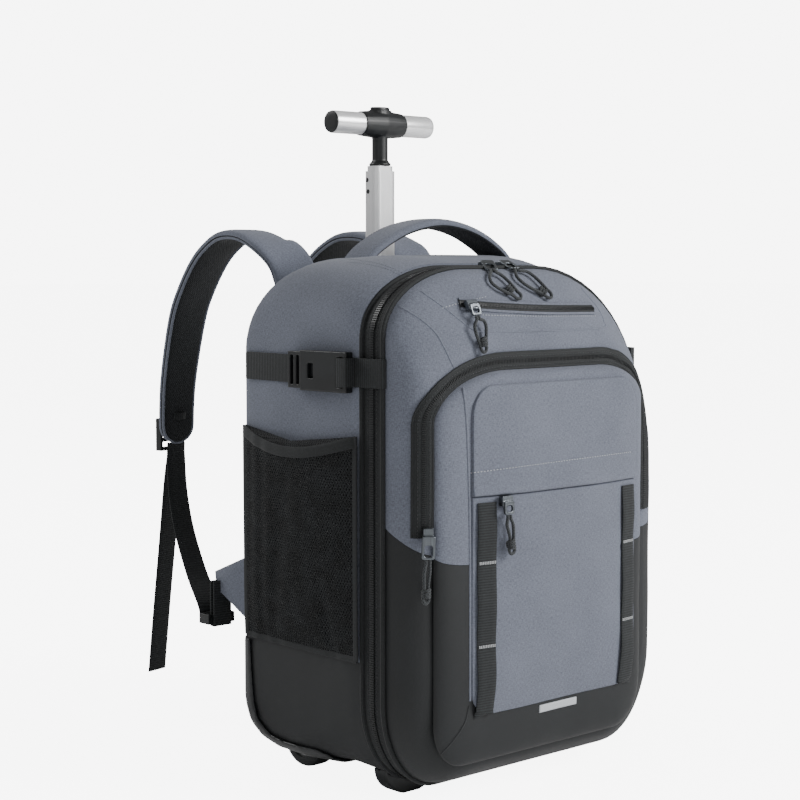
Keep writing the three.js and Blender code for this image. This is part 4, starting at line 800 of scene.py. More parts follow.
def table_at(rows, lead, value):
    """Each column of a table at a place, on a smooth line that never swings past the rows"""
    last = len(rows) - 1
    k = 0
    while k < last - 1 and rows[k + 1][lead] < value:
        k += 1
    gap = rows[k + 1][lead] - rows[k][lead]
    t = (value - rows[k][lead]) / gap

    def slope(column, i):
        rates = []
        for j in (i - 1, i):
            if 0 <= j < last:
                rates.append((rows[j + 1][column] - rows[j][column]) / (rows[j + 1][lead] - rows[j][lead]))
        if len(rates) == 1:
            return rates[0]
        a, b = rates
        return 0.0 if a * b <= 0 else 2 * a * b / (a + b)

    row = {}
    for column in rows[0]:
        a, b = rows[k][column], rows[k + 1][column]
        ma, mb = slope(column, k) * gap, slope(column, k + 1) * gap
        row[column] = ((2 * t ** 3 - 3 * t * t + 1) * a + (t ** 3 - 2 * t * t + t) * ma
                       + (3 * t * t - 2 * t ** 3) * b + (t ** 3 - t * t) * mb)
    return row


ARC_STEPS = 14
SIDE_STEPS = 46
TOP_STEPS = 26


def outline(form, by=0.0):
    """A front view outline, clockwise from the left side: shoulders, feet and the sides between them"""
    half = form["half"] + by
    right = half - form.get("pull", 0.0)
    low, high = form["low"] - by, form["high"] + by
    corners = [
        (-1, -half, high, grown(form["left"], by), math.pi),
        (1, right, high, grown(form["right"], by), math.pi / 2),
        (1, right, low, grown(form["foot"], by), 0.0),
        (-1, -half, low, grown(form["foot"], by), -math.pi / 2),
    ]
    arcs = []
    for side, x, z, (rx, rz), start in corners:
        cx = x - side * rx
        cz = z - rz if z == high else z + rz
        turns = [start - i / ARC_STEPS * math.pi / 2 for i in range(ARC_STEPS + 1)]
        arcs.append([(cx + rx * math.cos(a), cz + rz * math.sin(a)) for a in turns])
    points = []
    for i, arc in enumerate(arcs):
        points += arc
        after = arcs[(i + 1) % 4][0]
        steps = TOP_STEPS if i % 2 == 0 else SIDE_STEPS
        points += [mix_pair(arc[-1], after, k / steps) for k in range(1, steps)]
    return points


def ring(form, by=0.0, y=None):
    return [place(x, form["y"] if y is None else y, z) for x, z in outline(form, by)]


def shrunk(points, share, move=0.0):
    """A ring drawn in towards its middle and moved along y, to close an end"""
    middle = sum(points, Vector()) / len(points)
    return [middle + (p - middle) * share + Vector((0, move * MM, 0)) for p in points]


def rear_form(depth):
    row = table_at(REAR_ROWS, "depth", depth)
    return {
        "y": REAR_START + depth * REAR_DEPTH,
        "half": row["width"] * BAG_WIDTH / 2,
        "low": BAG_UNDERSIDE + row["rise"] * FOOT_EDGE_RISE,
        "high": BAG_HEIGHT - row["drop"] * TOP_EDGE_DROP,
        "left": LEFT_SHOULDER,
        "right": mix_pair(LEFT_SHOULDER, RIGHT_SHOULDER, row["sag"]),
        "foot": mix_pair(ZIP_FOOT, REAR_FOOT, row["square"]),
    }


def front_form(depth):
    row = table_at(FRONT_ROWS, "depth", depth)
    return {
        "y": FRONT_START - depth * FRONT_DEPTH,
        "half": row["width"] * ZIP_RING_WIDTH / 2,
        "low": BAG_UNDERSIDE + row["rise"] * FRONT_RISE,
        "high": ZIP_RING_TOP - row["drop"] * FRONT_TOP_DROP,
        "left": LEFT_SHOULDER,
        "right": RIGHT_SHOULDER,
        "foot": ZIP_FOOT,
    }


ZIP_BULGE = 1.0


def zip_form(along):
    bulge = ZIP_BULGE * math.sin(math.pi * along)
    return {
        "y": mix(ZIP_BAND_FRONT, ZIP_BAND_REAR, along),
        "half": ZIP_RING_WIDTH / 2 + bulge,
        "low": BAG_UNDERSIDE - bulge,
        "high": ZIP_RING_TOP + bulge,
        "left": grown(LEFT_SHOULDER, bulge),
        "right": grown(RIGHT_SHOULDER, bulge),
        "foot": grown(ZIP_FOOT, bulge),
    }


# Rear shell: padded cloth that keeps its shape, with a slight sag and soft hollows

STRAP_HEIGHT = 392.0
POLE_Y = 183.0
SLEEVE_HALF_WIDTH = 15.7
SLEEVE_HALF_DEPTH = 11.7
SLEEVE_BOTTOM = 52.0
WHEEL_X = 118.0
WELL_HALF_WIDTH = 17.3
WELL_FRONT = 107.7
WELL_TOP = 74.3


def rear_relief(x, y, z, normal):
    """Soft hollows of the padded cloth, in millimetres along its normal"""
    inside = held((y - 20.0) / 18.0) * held((BACK_FACE - 6.0 - y) / 12.0)
    side = abs(normal.x)
    top = max(0.0, normal.z)
    slow = ripple(x, y, z, 95.0, 3.1) * 1.5 + ripple(x, y, z, 38.0, 7.7) * 0.5
    strap = -2.2 * side * bell(z, STRAP_HEIGHT, 17.0) * bell(y, 70.0, 75.0)
    pucker = 0.5 * side * math.sin(y / 7.0) * bell(z, STRAP_HEIGHT - 24.0, 16.0) * bell(y, 110.0, 45.0)
    crown = 1.6 * side * bell(z, 300.0, 110.0) * math.sin(math.pi * held((y - 17.0) / 170.0))
    handle = -1.6 * top * (bell(x, -90.0, 22.0) + bell(x, 92.0, 22.0)) * bell(y, 110.0, 26.0)
    seam_dip = -1.0 * bell(z, BLACK_BASE_HEIGHT, 3.5) * side
    return inside * (slow + strap + pucker + crown + handle) + seam_dip


def box_object(name, low, high):
    """A plain block, used only to cut other meshes"""
    work = bmesh.new()
    size = [(b - a) * MM for a, b in zip(low, high)]
    middle = place(*[(a + b) / 2 for a, b in zip(low, high)])
    bmesh.ops.create_cube(work, size=1.0, matrix=Matrix.Translation(middle) @ Matrix.Diagonal((*size, 1.0)))
    mesh = bpy.data.meshes.new(name)
    work.to_mesh(mesh)
    work.free()
    return new_object(name, mesh)


def cut_by(work, *boxes):
    """A closed bmesh less some blocks"""
    mesh = bpy.data.meshes.new("uncut")
    work.to_mesh(mesh)
    work.free()
    piece = new_object("uncut", mesh)
    cutters = [box_object(f"cutter_{i}", low, high) for i, (low, high) in enumerate(boxes)]
    for cutter in cutters:
        modifier = piece.modifiers.new("cut", "BOOLEAN")
        modifier.operation = "DIFFERENCE"
        modifier.solver = "EXACT"
        modifier.object = cutter
    plain = bpy.data.meshes.new_from_object(piece.evaluated_get(bpy.context.evaluated_depsgraph_get()))
    result = bmesh.new()
    result.from_mesh(plain)
    for old in (piece, *cutters):
        bpy.data.objects.remove(old)
    return result


def tub(outer, inner, cap_move):
    """A closed cloth wall: from the closed outer end to the rim, then inside to the closed inner end"""
    end = [shrunk(outer[0], share, move) for share, move in cap_move]
    inner_end = [shrunk(inner[-1], share) for share in (0.7, 0.35)]
    return lofted([*end, *outer, *inner, *inner_end])


def make_rear_shell():
    depths = [1 - (1 - i / 40) ** 1.35 for i in range(41)]
    outer = [ring(rear_form(depth)) for depth in reversed(depths)]
    cavity_end = BACK_FACE - BACK_WALL
    inner_forms = [rear_form(depth) for depth in (0.0, 0.15, 0.4, 0.7)]
    inner = [ring(form, -SHELL_WALL) for form in inner_forms]
    inner.append(ring(inner_forms[-1], -SHELL_WALL - 2, cavity_end))
    work = tub(outer, inner, [(0.3, 0.0), (0.7, 0.0), (0.93, 0.0)])
    moved_out(work, rear_relief)
    slot_low = (-SLEEVE_HALF_WIDTH - GAP, POLE_Y - SLEEVE_HALF_DEPTH - GAP, SLEEVE_BOTTOM - GAP)
    slot_high = (SLEEVE_HALF_WIDTH + GAP, BACK_FACE + 30.0, BAG_HEIGHT + 30.0)
    wells = []
    for _, side in SIDES:
        xs = sorted((side * (WHEEL_X - WELL_HALF_WIDTH), side * (WHEEL_X + WELL_HALF_WIDTH)))
        wells.append(((xs[0], WELL_FRONT, -30.0), (xs[1], BACK_FACE + 30.0, WELL_TOP)))
    work = cut_by(work, (slot_low, slot_high), *wells)
    seam_spot = place(0, 0, BLACK_BASE_HEIGHT)
    upper = cut_at(work, seam_spot + Vector((0, 0, GAP / 2 * MM)), Vector((0, 0, -1)))
    lower = cut_at(work, seam_spot - Vector((0, 0, GAP / 2 * MM)), Vector((0, 0, 1)))
    work.free()
    shell = settle(from_bmesh("rear_shell_cloth", upper, GREY_CLOTH), "grey_cloth", "rear_shell")
    base = settle(from_bmesh("rear_base_cloth", lower, BLACK_CLOTH), "black_cloth", "rear_base")
    return shell, base


# Main zip band: tape, two piped edges and the zip's teeth

def outward(points, i):
    """The way out of a closed front view outline, at one of its points"""
    before, after = points[i - 1], points[(i + 1) % len(points)]
    along = (after - before).normalized()
    return Vector((-along.z, 0, along.x)).normalized()


def make_zip_band():
    outer = [ring(zip_form(i / 10)) for i in range(11)]
    inner = [ring(zip_form(along), -5.0) for along in (1.0, 0.0)]
    piece = from_bmesh("main_zip_tape", lofted([*outer, *inner], looped=True), BLACK_TAPE)
    settle(piece, "black_webbing", "main_zip_band")
    for name, along, radius in (("front", 0.04, 2.3), ("rear", 0.97, 2.6)):
        work = swept_loop(ring(zip_form(along), 0.7), radius)
        settle(from_bmesh(f"main_zip_piping_{name}", work, BLACK_TAPE), "black_webbing")
    middle = ring(zip_form(0.5), 0.35)
    line = [(p, outward(middle, i)) for i, p in enumerate(middle)]
    line.append(line[0])
    teeth = row_along("main_zip_teeth", [line], "tooth", 2.1, (1.25, 5.6, 1.9), SATIN_PLASTIC)
    settle(teeth, "black_webbing")
    for name, along in (("front", 0.3), ("rear", 0.7)):
        edge = ring(zip_form(along), 0.25)
        rows = [(p, outward(edge, i)) for i, p in enumerate(edge)]
        stitches(f"main_zip_sewing_{name}", [rows], BLACK_THREAD, slot="black_webbing")


def swept_loop(points, radius, sides=8):
    """A round tube along a closed front view outline"""
    rings = []
    for i, point in enumerate(points):
        out = outward(points, i)
        rings.append([point + (out * b + Vector((0, a, 0))) * MM for a, b in round_section(radius, sides)])
    return lofted(rings, looped=True)


# Front compartment

def front_relief(x, y, z, normal):
    inside = held((FRONT_START - 3.0 - y) / 8.0)
    slow = ripple(x, y, z, 80.0, 11.3) * 1.1 + ripple(x, y, z, 30.0, 5.9) * 0.35
    slump = -1.4 * bell(x, 120.0, 50.0) * bell(z, 395.0, 60.0)
    return inside * (slow + slump)


def base_cut(work):
    """The two parts above and below the seam that drops towards the front"""
    normal = Vector((0, -FRONT_BASE_SLOPE, 1)).normalized()
    panel_plane = POCKET_START - POCKET_DEPTH
    spot = place(0, panel_plane, FRONT_BASE_HEIGHT)
    upper = cut_at(work, spot + normal * GAP / 2 * MM, -normal)
    lower = cut_at(work, spot - normal * GAP / 2 * MM, normal)
    work.free()
    return upper, lower


def make_front_shell():
    depths = [1 - (1 - i / 18) ** 1.3 for i in range(19)]
    outer = [ring(front_form(depth)) for depth in reversed(depths)]
    inner = [ring(front_form(depth), -FRONT_WALL) for depth in (0.0, 0.35, 0.7)]
    inner.append(ring(front_form(0.7), -FRONT_WALL * 4, FRONT_FACE + FRONT_WALL))
    work = tub(outer, inner, [(0.3, 0.0), (0.7, 0.0), (0.94, 0.0)])
    moved_out(work, front_relief)
    upper, lower = base_cut(work)
    shell = settle(from_bmesh("front_shell_cloth", upper, GREY_CLOTH), "grey_cloth", "front_shell")
    base = settle(from_bmesh("front_base_cloth", lower, BLACK_CLOTH), "black_cloth", "front_base")
    return shell, base


# Front pocket: rolled sides and a crowned panel

POCKET_WIDTH = 282.0
POCKET_TOP = 393.0
POCKET_UNDERSIDE = 44.0
POCKET_DEPTH = 11.7
POCKET_CROWN = 10.0
POCKET_ARCH_LEFT = (85.0, 44.0)
POCKET_ARCH_RIGHT = (60.0, 34.0)
POCKET_PULL = 14.0
POCKET_FOOT = (36.0, 40.0)
PANEL_WIDTH = 216.0
PANEL_TOP = 382.0
PANEL_BOTTOM = 88.0
PANEL_CORNER = (26.0, 26.0)
POCKET_START = FRONT_FACE - GAP
PANEL_PLANE = POCKET_START - POCKET_DEPTH


def pocket_form(roll):
    return {
        "y": PANEL_PLANE + POCKET_DEPTH * (1 - math.sqrt(1 - roll * roll)),
        "half": mix(PANEL_WIDTH, POCKET_WIDTH, roll) / 2,
        "low": mix(PANEL_BOTTOM, POCKET_UNDERSIDE, roll),
        "high": mix(PANEL_TOP, POCKET_TOP, roll),
        "left": mix_pair(PANEL_CORNER, POCKET_ARCH_LEFT, roll),
        "right": mix_pair(PANEL_CORNER, POCKET_ARCH_RIGHT, roll),
        "foot": mix_pair(PANEL_CORNER, POCKET_FOOT, roll),
        "pull": POCKET_PULL * roll,
    }


def crown_ring(share, lift=0.0):
    edge = pocket_form(0.0)
    middle = (edge["low"] + edge["high"]) / 2
    y = edge["y"] - POCKET_CROWN * (1 - share * share) - lift
    return [place(x * share, y, middle + (z - middle) * share) for x, z in outline(edge)]


def pocket_relief(x, y, z, normal):
    inside = held((POCKET_START - 1.0 - y) / 5.0)
    slow = ripple(x, y, z, 70.0, 2.3) * 0.9 + ripple(x, y, z, 26.0, 9.1) * 0.3
    return inside * slow


def make_pocket_shell():
    rolls = [math.cos(math.pi / 2 * i / 16) for i in range(17)]
    rolls[-1] = 0.0
    outer = [ring(pocket_form(roll)) for roll in reversed(rolls)]
    crown = [crown_ring(share) for share in (0.12, 0.25, 0.4, 0.55, 0.68, 0.8, 0.9, 0.96)]
    inner = [
        ring(pocket_form(1.0), -POCKET_WALL, POCKET_START),
        ring(pocket_form(0.8), -POCKET_WALL, POCKET_START - POCKET_WALL),
        ring(pocket_form(0.0), -POCKET_WALL, PANEL_PLANE + POCKET_WALL),
        crown_ring(0.8, -POCKET_WALL),
        crown_ring(0.4, -POCKET_WALL),
    ]
    work = lofted([*crown, *outer, *inner])
    moved_out(work, pocket_relief)
    upper, lower = base_cut(work)
    shell = settle(from_bmesh("pocket_cloth", upper, GREY_CLOTH), "grey_cloth", "pocket_shell")
    base = settle(from_bmesh("pocket_base_cloth", lower, BLACK_CLOTH), "black_cloth", "pocket_base")
    return shell, base


rear_shell, rear_base = make_rear_shell()
make_zip_band()
front_shell, front_base = make_front_shell()
pocket_shell, pocket_base = make_pocket_shell()


# Finer copies of CAD nodes whose shape is right

def cad_bmesh(*nodes):
    work = bmesh.new()
    for node in nodes:
        source = bpy.data.objects[node]
        mesh = source.data.copy()
        mesh.transform(source.matrix_world)
        work.from_mesh(mesh)
        bpy.data.meshes.remove(mesh)
    bmesh.ops.remove_doubles(work, verts=work.verts, dist=0.02 * MM)
    flat = math.radians(1.0)
    bmesh.ops.dissolve_limit(work, angle_limit=flat, verts=work.verts, edges=work.edges)
    return work


def worked_in(piece, sharp=40.0):
    """Turns the piece's modifiers into plain mesh"""
    plain = bpy.data.meshes.new_from_object(piece.evaluated_get(bpy.context.evaluated_depsgraph_get()))
    piece.modifiers.clear()
    piece.data = plain
    plain.polygons.foreach_set("use_smooth", [True] * len(plain.polygons))
    plain.set_sharp_from_angle(angle=math.radians(sharp))
    return piece


def eased(name, material, grain, passes, *nodes):
    """A copy with every edge rounded: remeshed at a grain in millimetres, then smoothed"""
    piece = from_bmesh(name, cad_bmesh(*nodes), material)
    remesh = piece.modifiers.new("fine", "REMESH")
    remesh.mode = "VOXEL"
    remesh.voxel_size = grain * MM
    smooth = piece.modifiers.new("round", "SMOOTH")
    smooth.factor = 0.5
    smooth.iterations = passes
    return worked_in(piece, 60.0)


def bevelled(name, material, radius, *nodes):
    piece = from_bmesh(name, cad_bmesh(*nodes), material)
    bevel = piece.modifiers.new("edge", "BEVEL")
    bevel.width = radius * MM
    bevel.segments = 3
    bevel.limit_method = "ANGLE"
    bevel.angle_limit = math.radians(28.0)
    return worked_in(piece)


def moulded(name, finish, grain, passes, node):
    """An eased black copy that stands for its node"""
    return settle(eased(name, finish, grain, passes, node), "black_plastic", node)


def second_side(piece, material, chosen):
    """Gives another material to the faces that chosen(centre, normal) picks"""
    piece.data.materials.append(material)
    for face in piece.data.polygons:
        if chosen(unplace(face.center), face.normal):
            face.material_index = 1


# Front pocket's zip, laid round its rim on the front compartment

POCKET_ZIP_END = 246.0
POCKET_ZIP_ROWS = [
    (0.2, 0.1), (0.6, 2.2), (2.2, 3.0), (4.6, 2.6), (7.4, 2.3),
    (10.2, 2.6), (13.0, 2.9), (14.8, 2.2), (15.4, 0.1),
]
FROM_FRONT = Vector((0, 1, 0))
# Depth from which the rays start, well before the bag
IN_FRONT = -150.0
FRONT_SKIN = Surface(front_shell, front_base)


def pocket_arch(by, lift):
    """A line on the front compartment round the pocket's arch, from its left end to its right one"""
    base = outline(pocket_form(1.0))
    kept = [i for i, (_, z) in enumerate(base) if z >= POCKET_ZIP_END]
    left = [i for i in kept if i > len(base) / 2]
    right = [i for i in kept if i <= len(base) / 2]
    points = outline(pocket_form(1.0), by)
    found = []
    for i in left + right:
        x, z = points[i]
        found.append(FRONT_SKIN.hit(place(x, IN_FRONT, z), FROM_FRONT, lift))
    return found


def make_pocket_zip():
    top = [pocket_arch(by, lift) for by, lift in POCKET_ZIP_ROWS]
    under = [pocket_arch(by, -0.8) for by in (15.4, 7.6, 0.2)]
    rings = [[row[i][0] for row in top + under] for i in range(len(top[0]))]
    band = from_bmesh("pocket_zip_tape", lofted(rings), BLACK_TAPE)
    settle(band, "black_webbing", "pocket_zip_band")
    teeth = row_along("pocket_zip_teeth", [pocket_arch(7.4, 2.5)], "tooth", 1.9, (0.9, 3.4, 1.1), SATIN_PLASTIC)
    settle(teeth, "black_webbing")
    for name, by, radius in (("inner", 0.6, 1.5), ("outer", 14.9, 1.1)):
        line = [point for point, _ in pocket_arch(by, 1.6)]
        piping = swept(line, in_metres(round_section(radius, 8)))
        settle(from_bmesh(f"pocket_zip_piping_{name}", piping, BLACK_TAPE), "black_webbing")
    for name, by in (("inner", 3.4), ("outer", 11.6)):
        stitches(f"pocket_zip_sewing_{name}", [pocket_arch(by, 2.9)], BLACK_THREAD, slot="black_webbing")


# Panel, flap and trims on the pocket

EDGE_SHARES = (0.0, 0.004, 0.01, 0.02, 0.035)


def dense_shares(count):
    """Shares from 0 to 1, closer together at both ends"""
    first, last = EDGE_SHARES[-1], 1 - EDGE_SHARES[-1]
    inside = [mix(first, last, i / count) for i in range(1, count)]
    return [*EDGE_SHARES, *inside, *[1 - share for share in reversed(EDGE_SHARES)]]


def laid_patch(name, skin, low, high, reach, lift, material, columns=40, rows=36):
    """A patch laid on a skin from the front. reach(z) is its left and right ends and lift(x, z, inset) its height."""
    rings = []
    for up in dense_shares(rows):
        z = mix(low, high, up)
        left, right = reach(z)
        top, under = [], []
        for share in dense_shares(columns):
            x = mix(left, right, share)
            inset = min(x - left, right - x, z - low, high - z)
            start = place(x, IN_FRONT, z)
            top.append(skin.hit(start, FROM_FRONT, lift(x, z, inset))[0])
            under.append(skin.hit(start, FROM_FRONT, -0.5)[0])
        rings.append(top + under[::-1])
    return from_bmesh(name, lofted(rings), material, sharp=50)


def rounded_reach(half, edge, radius, away):
    """Left and right ends at a height, with a corner radius at the edge that lies away up or down"""
    def reach(z):
        inside = min(max((z - edge) * -away, 0.0), radius)
        short = radius - math.sqrt(radius * radius - (radius - inside) ** 2)
        return short - half, half - short
    return reach


def edge_step(inset, roll=1.6):
    t = min(1.0, inset / roll)
    return math.sqrt(max(0.0, 1 - (1 - t) ** 2))


PATCH_HALF = 107.0
PATCH_BOTTOM = 89.0
PATCH_TOP = 381.0
PATCH_CORNER = 25.0
FLAP_EDGE = 284.5
DAISY_X = 93.0
DAISY_WIDTH = 20.0
DAISY_LIFT = 1.1
DAISY_LOW = 90.0
DAISY_HIGH = 279.0
BARTACKS = (90.0, 152.0, 226.0, 279.0)
STITCH_LIFT = 0.15


def make_front_patches():
    skin = Surface(pocket_shell, pocket_base)

    def panel_lift(x, z, inset):
        slack = ripple(x, 0.0, z, 60.0, 4.4) * 0.7 + 0.8 * bell(z, 200.0, 70.0) * bell(x, 0.0, 70.0)
        return 0.2 + (1.6 + slack) * edge_step(inset)

    def flap_lift(x, z, inset):
        roll = 1.6 * bell(z, FLAP_EDGE + 2.0, 4.0)
        slack = ripple(x, 5.0, z, 55.0, 8.2) * 0.7
        return 0.3 + (2.6 + roll + slack) * edge_step(inset)

    low_reach = rounded_reach(PATCH_HALF, PATCH_BOTTOM, PATCH_CORNER, -1)
    high_reach = rounded_reach(PATCH_HALF, PATCH_TOP, PATCH_CORNER, 1)
    panel = laid_patch("front_panel_cloth", skin, PATCH_BOTTOM, FLAP_EDGE - 0.3, low_reach, panel_lift, GREY_CLOTH)
    settle(panel, "grey_cloth", "front_panel")
    flap = laid_patch("front_flap_cloth", skin, FLAP_EDGE, PATCH_TOP, high_reach, flap_lift, GREY_CLOTH)
    settle(flap, "grey_cloth", "front_flap")
    return panel, flap


def make_daisies(panel):
    skin = Surface(panel, pocket_shell, pocket_base)
    for name, side in SIDES:
        line, ups = [], []
        for i in range(95):
            z = mix(DAISY_LOW, DAISY_HIGH, i / 94)
            span = [tack for tack in BARTACKS if tack <= z + 0.01][-1]
            after = BARTACKS[min(BARTACKS.index(span) + 1, 3)]
            share = (z - span) / max(after - span, 1.0)
            lift = DAISY_LIFT * (1 + math.sin(math.pi * share) ** 2)
            point, up = skin.hit(place(side * DAISY_X, IN_FRONT, z), FROM_FRONT, lift)
            line.append(point)
            ups.append(up)
        section = in_metres(flat_section(DAISY_WIDTH, 1.6))
        strip = from_bmesh(f"daisy_strip_{name}", swept(line, section, ups), BLACK_WEBBING)
        settle(strip, "black_webbing", f"daisy_webbing_{name}")
        face = Surface(strip)
        rows = []
        for tack in BARTACKS[1:3]:
            for drop in (-0.9, 0.0, 0.9):
                row = [
                    face.hit(place(side * DAISY_X + across, IN_FRONT, tack + drop), FROM_FRONT, STITCH_LIFT)
                    for across in range(-8, 9, 2)
                ]
                rows.append([r for r in row if r])
        stitches(f"daisy_bartacks_{name}", rows, pitch=1.7, length=1.6, thick=0.7, slot="black_webbing")


REFLECTOR = {"left": -20.0, "right": 30.0, "low": 79.0, "high": 86.0}


def make_reflector(skin):
    def reach(z):
        return REFLECTOR["left"], REFLECTOR["right"]

    def lift(x, z, inset):
        return 0.2 + 0.9 * edge_step(inset, 0.8)

    low, high = REFLECTOR["low"], REFLECTOR["high"]
    strip = laid_patch("reflective_strip", skin, low, high, reach, lift, REFLECTIVE, columns=24, rows=8)
    settle(strip, "grey_cloth")


# Seams and stitches that the photograph shows, each by its own places there
FLAP_STITCHES = [(471, 473), (510, 468), (570, 460), (630, 452)]
POCKET_LEFT_SEAM = [(463, 388), (465, 403), (467, 430), (469, 492), (470, 558), (470, 630), (470, 701)]
PANEL_BASE_SEAM = [(469, 706), (465, 722), (456, 737), (443, 752), (427, 766), (412, 772)]
FRONT_SIDE_SEAM = [(399, 306), (419, 318), (435, 332), (444, 347), (454, 368)]
QUICK_POCKET_EDGE = [
    (421, 291), (446, 309), (472, 329), (486, 332), (540, 331), (600, 328), (604, 322), (597, 307), (581, 288),
]
QUICK_STITCH_LEFT = [(443, 308), (460, 303), (485, 297)]
QUICK_STITCH_BELOW = [(483, 315), (520, 316), (595, 316)]
QUICK_ZIP_LINE = [(459, 304), (500, 307), (545, 309), (592, 309)]
TOP_SEAM = [(347, 259), (365, 261), (383, 265), (400, 272), (416, 280)]


def make_front_seams(panel, flap):
    pocket = Surface(pocket_shell, pocket_base, panel, flap)
    stitches("flap_stitches", [pocket.from_photo(FLAP_STITCHES, 0.25, 60)])
    seam("pocket_left_seam", pocket.from_photo(POCKET_LEFT_SEAM, 0.2, 80), 2.4, 1.4, GREY_CLOTH, "grey_cloth")
    seam("panel_base_seam", pocket.from_photo(PANEL_BASE_SEAM, 0.1, 40), 1.8, 1.1, BLACK_CLOTH, "black_cloth")
    side_line = FRONT_SKIN.from_photo(FRONT_SIDE_SEAM, 0.1, 40)
    seam("front_side_seam", side_line, 1.8, 1.0, GREY_CLOTH, "grey_cloth")
    edge = FRONT_SKIN.from_photo(QUICK_POCKET_EDGE, 0.1, 80)
    seam("quick_pocket_seam", edge, 1.8, 1.0, GREY_CLOTH, "grey_cloth")
    stitches("quick_pocket_stitches", [
        FRONT_SKIN.from_photo(QUICK_STITCH_LEFT, 0.25),
        FRONT_SKIN.from_photo(QUICK_STITCH_BELOW, 0.25),
    ], thick=0.5)
    top = Surface(rear_shell)
    line = top.from_photo(TOP_SEAM, 0.25, 50)
    second = top.from_photo([(x, y + 3) for x, y in TOP_SEAM], 0.25, 50)
    stitches("top_stitches", [line, second], DARK_THREAD, length=2.0, thick=0.5)


def make_quick_zip():
    line = FRONT_SKIN.from_photo(QUICK_ZIP_LINE, 0.5, 60)
    points = [point for point, _ in line]
    ups = [up for _, up in line]
    section = in_metres(flat_section(9.0, 2.2))
    tape = from_bmesh("quick_zip_tape", swept(points, section, ups), BLACK_TAPE)
    settle(tape, "black_webbing", "quick_pocket_zip")
    raised = [(point + up * 1.3 * MM, up) for point, up in line]
    teeth = row_along("quick_zip_teeth", [raised], "tooth", 1.8, (0.9, 3.0, 0.9), SATIN_PLASTIC)
    settle(teeth, "black_webbing")
    for name, aside in (("upper", 4.6), ("lower", -4.6)):
        rows = []
        for i, (point, up) in enumerate(line):
            rows.append((point + up.cross(ahead_at(points, i)) * aside * MM + up * 0.5 * MM, up))
        seam(f"quick_zip_lip_{name}", rows, 2.6, 1.8, GREY_CLOTH, "grey_cloth")


make_pocket_zip()
front_panel, front_flap = make_front_patches()
make_daisies(front_panel)
make_reflector(Surface(pocket_shell, pocket_base))
make_front_seams(front_panel, front_flap)
make_quick_zip()


# Side pockets of net

MESH_REAR = 178.0
MESH_FRONT = 17.8
MESH_BOTTOM = 137.0
MESH_TOP = 336.0
MESH_DIP = 14.0
MESH_BULGE = 14.0
MESH_COLUMNS = 64
MESH_ROWS = 54
NET_THICKNESS = 0.5
NET_BINDING = (10.0, 2.4)
NET_BINDING_DROP = 4.6
NET_EDGE = (6.0, 1.6)
GATHER_DEPTH = 1.3
GATHER_TURNS = 44.0
DART_DEPTH = 3.4
FOLD_DEPTH = 2.6
# Distance from the middle at which the rays start, well beside the bag
BESIDE = 230.0
MESH_LEVELS = table(
    "height bulge",
    (0.0, 0.0), (0.08, 0.42), (0.25, 0.66), (0.5, 0.8), (0.75, 0.92), (1.0, 1.0),
)
REAR_SKIN = Surface(rear_shell, rear_base)


def net_spot(side, along, up, lift=0.0):
    """A point of a net pocket's outer face, along from its front end and up from its foot"""
    y = mix(MESH_FRONT, MESH_REAR, along)
    top = MESH_TOP - MESH_DIP * math.sin(math.pi * along)
    z = mix(MESH_BOTTOM, top, up)
    arch = math.sin(math.pi * held(along)) ** 0.6
    bulge = MESH_BULGE * table_at(MESH_LEVELS, "height", up)["bulge"] * arch
    gathers = GATHER_DEPTH * math.sin(along * GATHER_TURNS + 3.0 * up) * bell(along, 0.86, 0.16) * (1 - up * 0.4)
    dart = -DART_DEPTH * bell(along - up * 0.16, 0.2, 0.035) * bell(up, 0.12, 0.16)
    fold = -FOLD_DEPTH * bell(along + (up - 0.5) * 0.24, 0.62, 0.07) * bell(up, 0.45, 0.4)
    skin, _ = REAR_SKIN.hit(place(side * BESIDE, y, z), Vector((-side, 0, 0)))
    floor = abs(unplace(skin).x) + 0.7
    out = max(BAG_WIDTH / 2 + 0.9 + bulge + (gathers + dart + fold) * arch, floor)
    return place(side * (out + lift), y, z)


def make_net_pocket(name, side):
    rings = []
    for r in range(MESH_ROWS + 1):
        up = r / MESH_ROWS
        outer = [net_spot(side, c / MESH_COLUMNS, up) for c in range(MESH_COLUMNS + 1)]
        inner = [net_spot(side, c / MESH_COLUMNS, up, -NET_THICKNESS) for c in range(MESH_COLUMNS, -1, -1)]
        rings.append(outer + inner)
    net = from_bmesh(f"net_pocket_{name}", lofted(rings), BLACK_NET)
    settle(net, "black_mesh", f"mesh_pocket_{name}")
    drop = Vector((0, 0, NET_BINDING_DROP * MM))
    rim = [net_spot(side, i / 60, 1.0, 0.4) - drop for i in range(61)]
    out = Vector((side, 0, 0))
    work = swept(rim, in_metres(flat_section(*NET_BINDING)), [out] * len(rim))
    binding = from_bmesh(f"net_binding_{name}", work, BLACK_TAPE)
    settle(binding, "black_webbing")
    edges = {
        "foot": [net_spot(side, i / 50, 0.0, 0.3) + Vector((0, 0, 0.6 * MM)) for i in range(51)],
        "front": [net_spot(side, 0.006, i / 40, 0.5) for i in range(41)],
        "rear": [net_spot(side, 0.994, i / 40, 0.3) for i in range(41)],
    }
    narrow = in_metres(flat_section(*NET_EDGE))
    for edge, line in edges.items():
        work = swept(line, narrow, [out] * len(line))
        settle(from_bmesh(f"net_edge_{edge}_{name}", work, BLACK_TAPE), "black_webbing")


for side_name, side_sign in SIDES:
    make_net_pocket(side_name, side_sign)


# Side straps and buckles

CROSS_WEBBING = ribbed_webbing("black_strap_webbing", "0f1112", "24282a", run="u")
FLAT_WEBBING = ribbed_webbing("black_loop_webbing", "0f1112", "24282a", run="v")


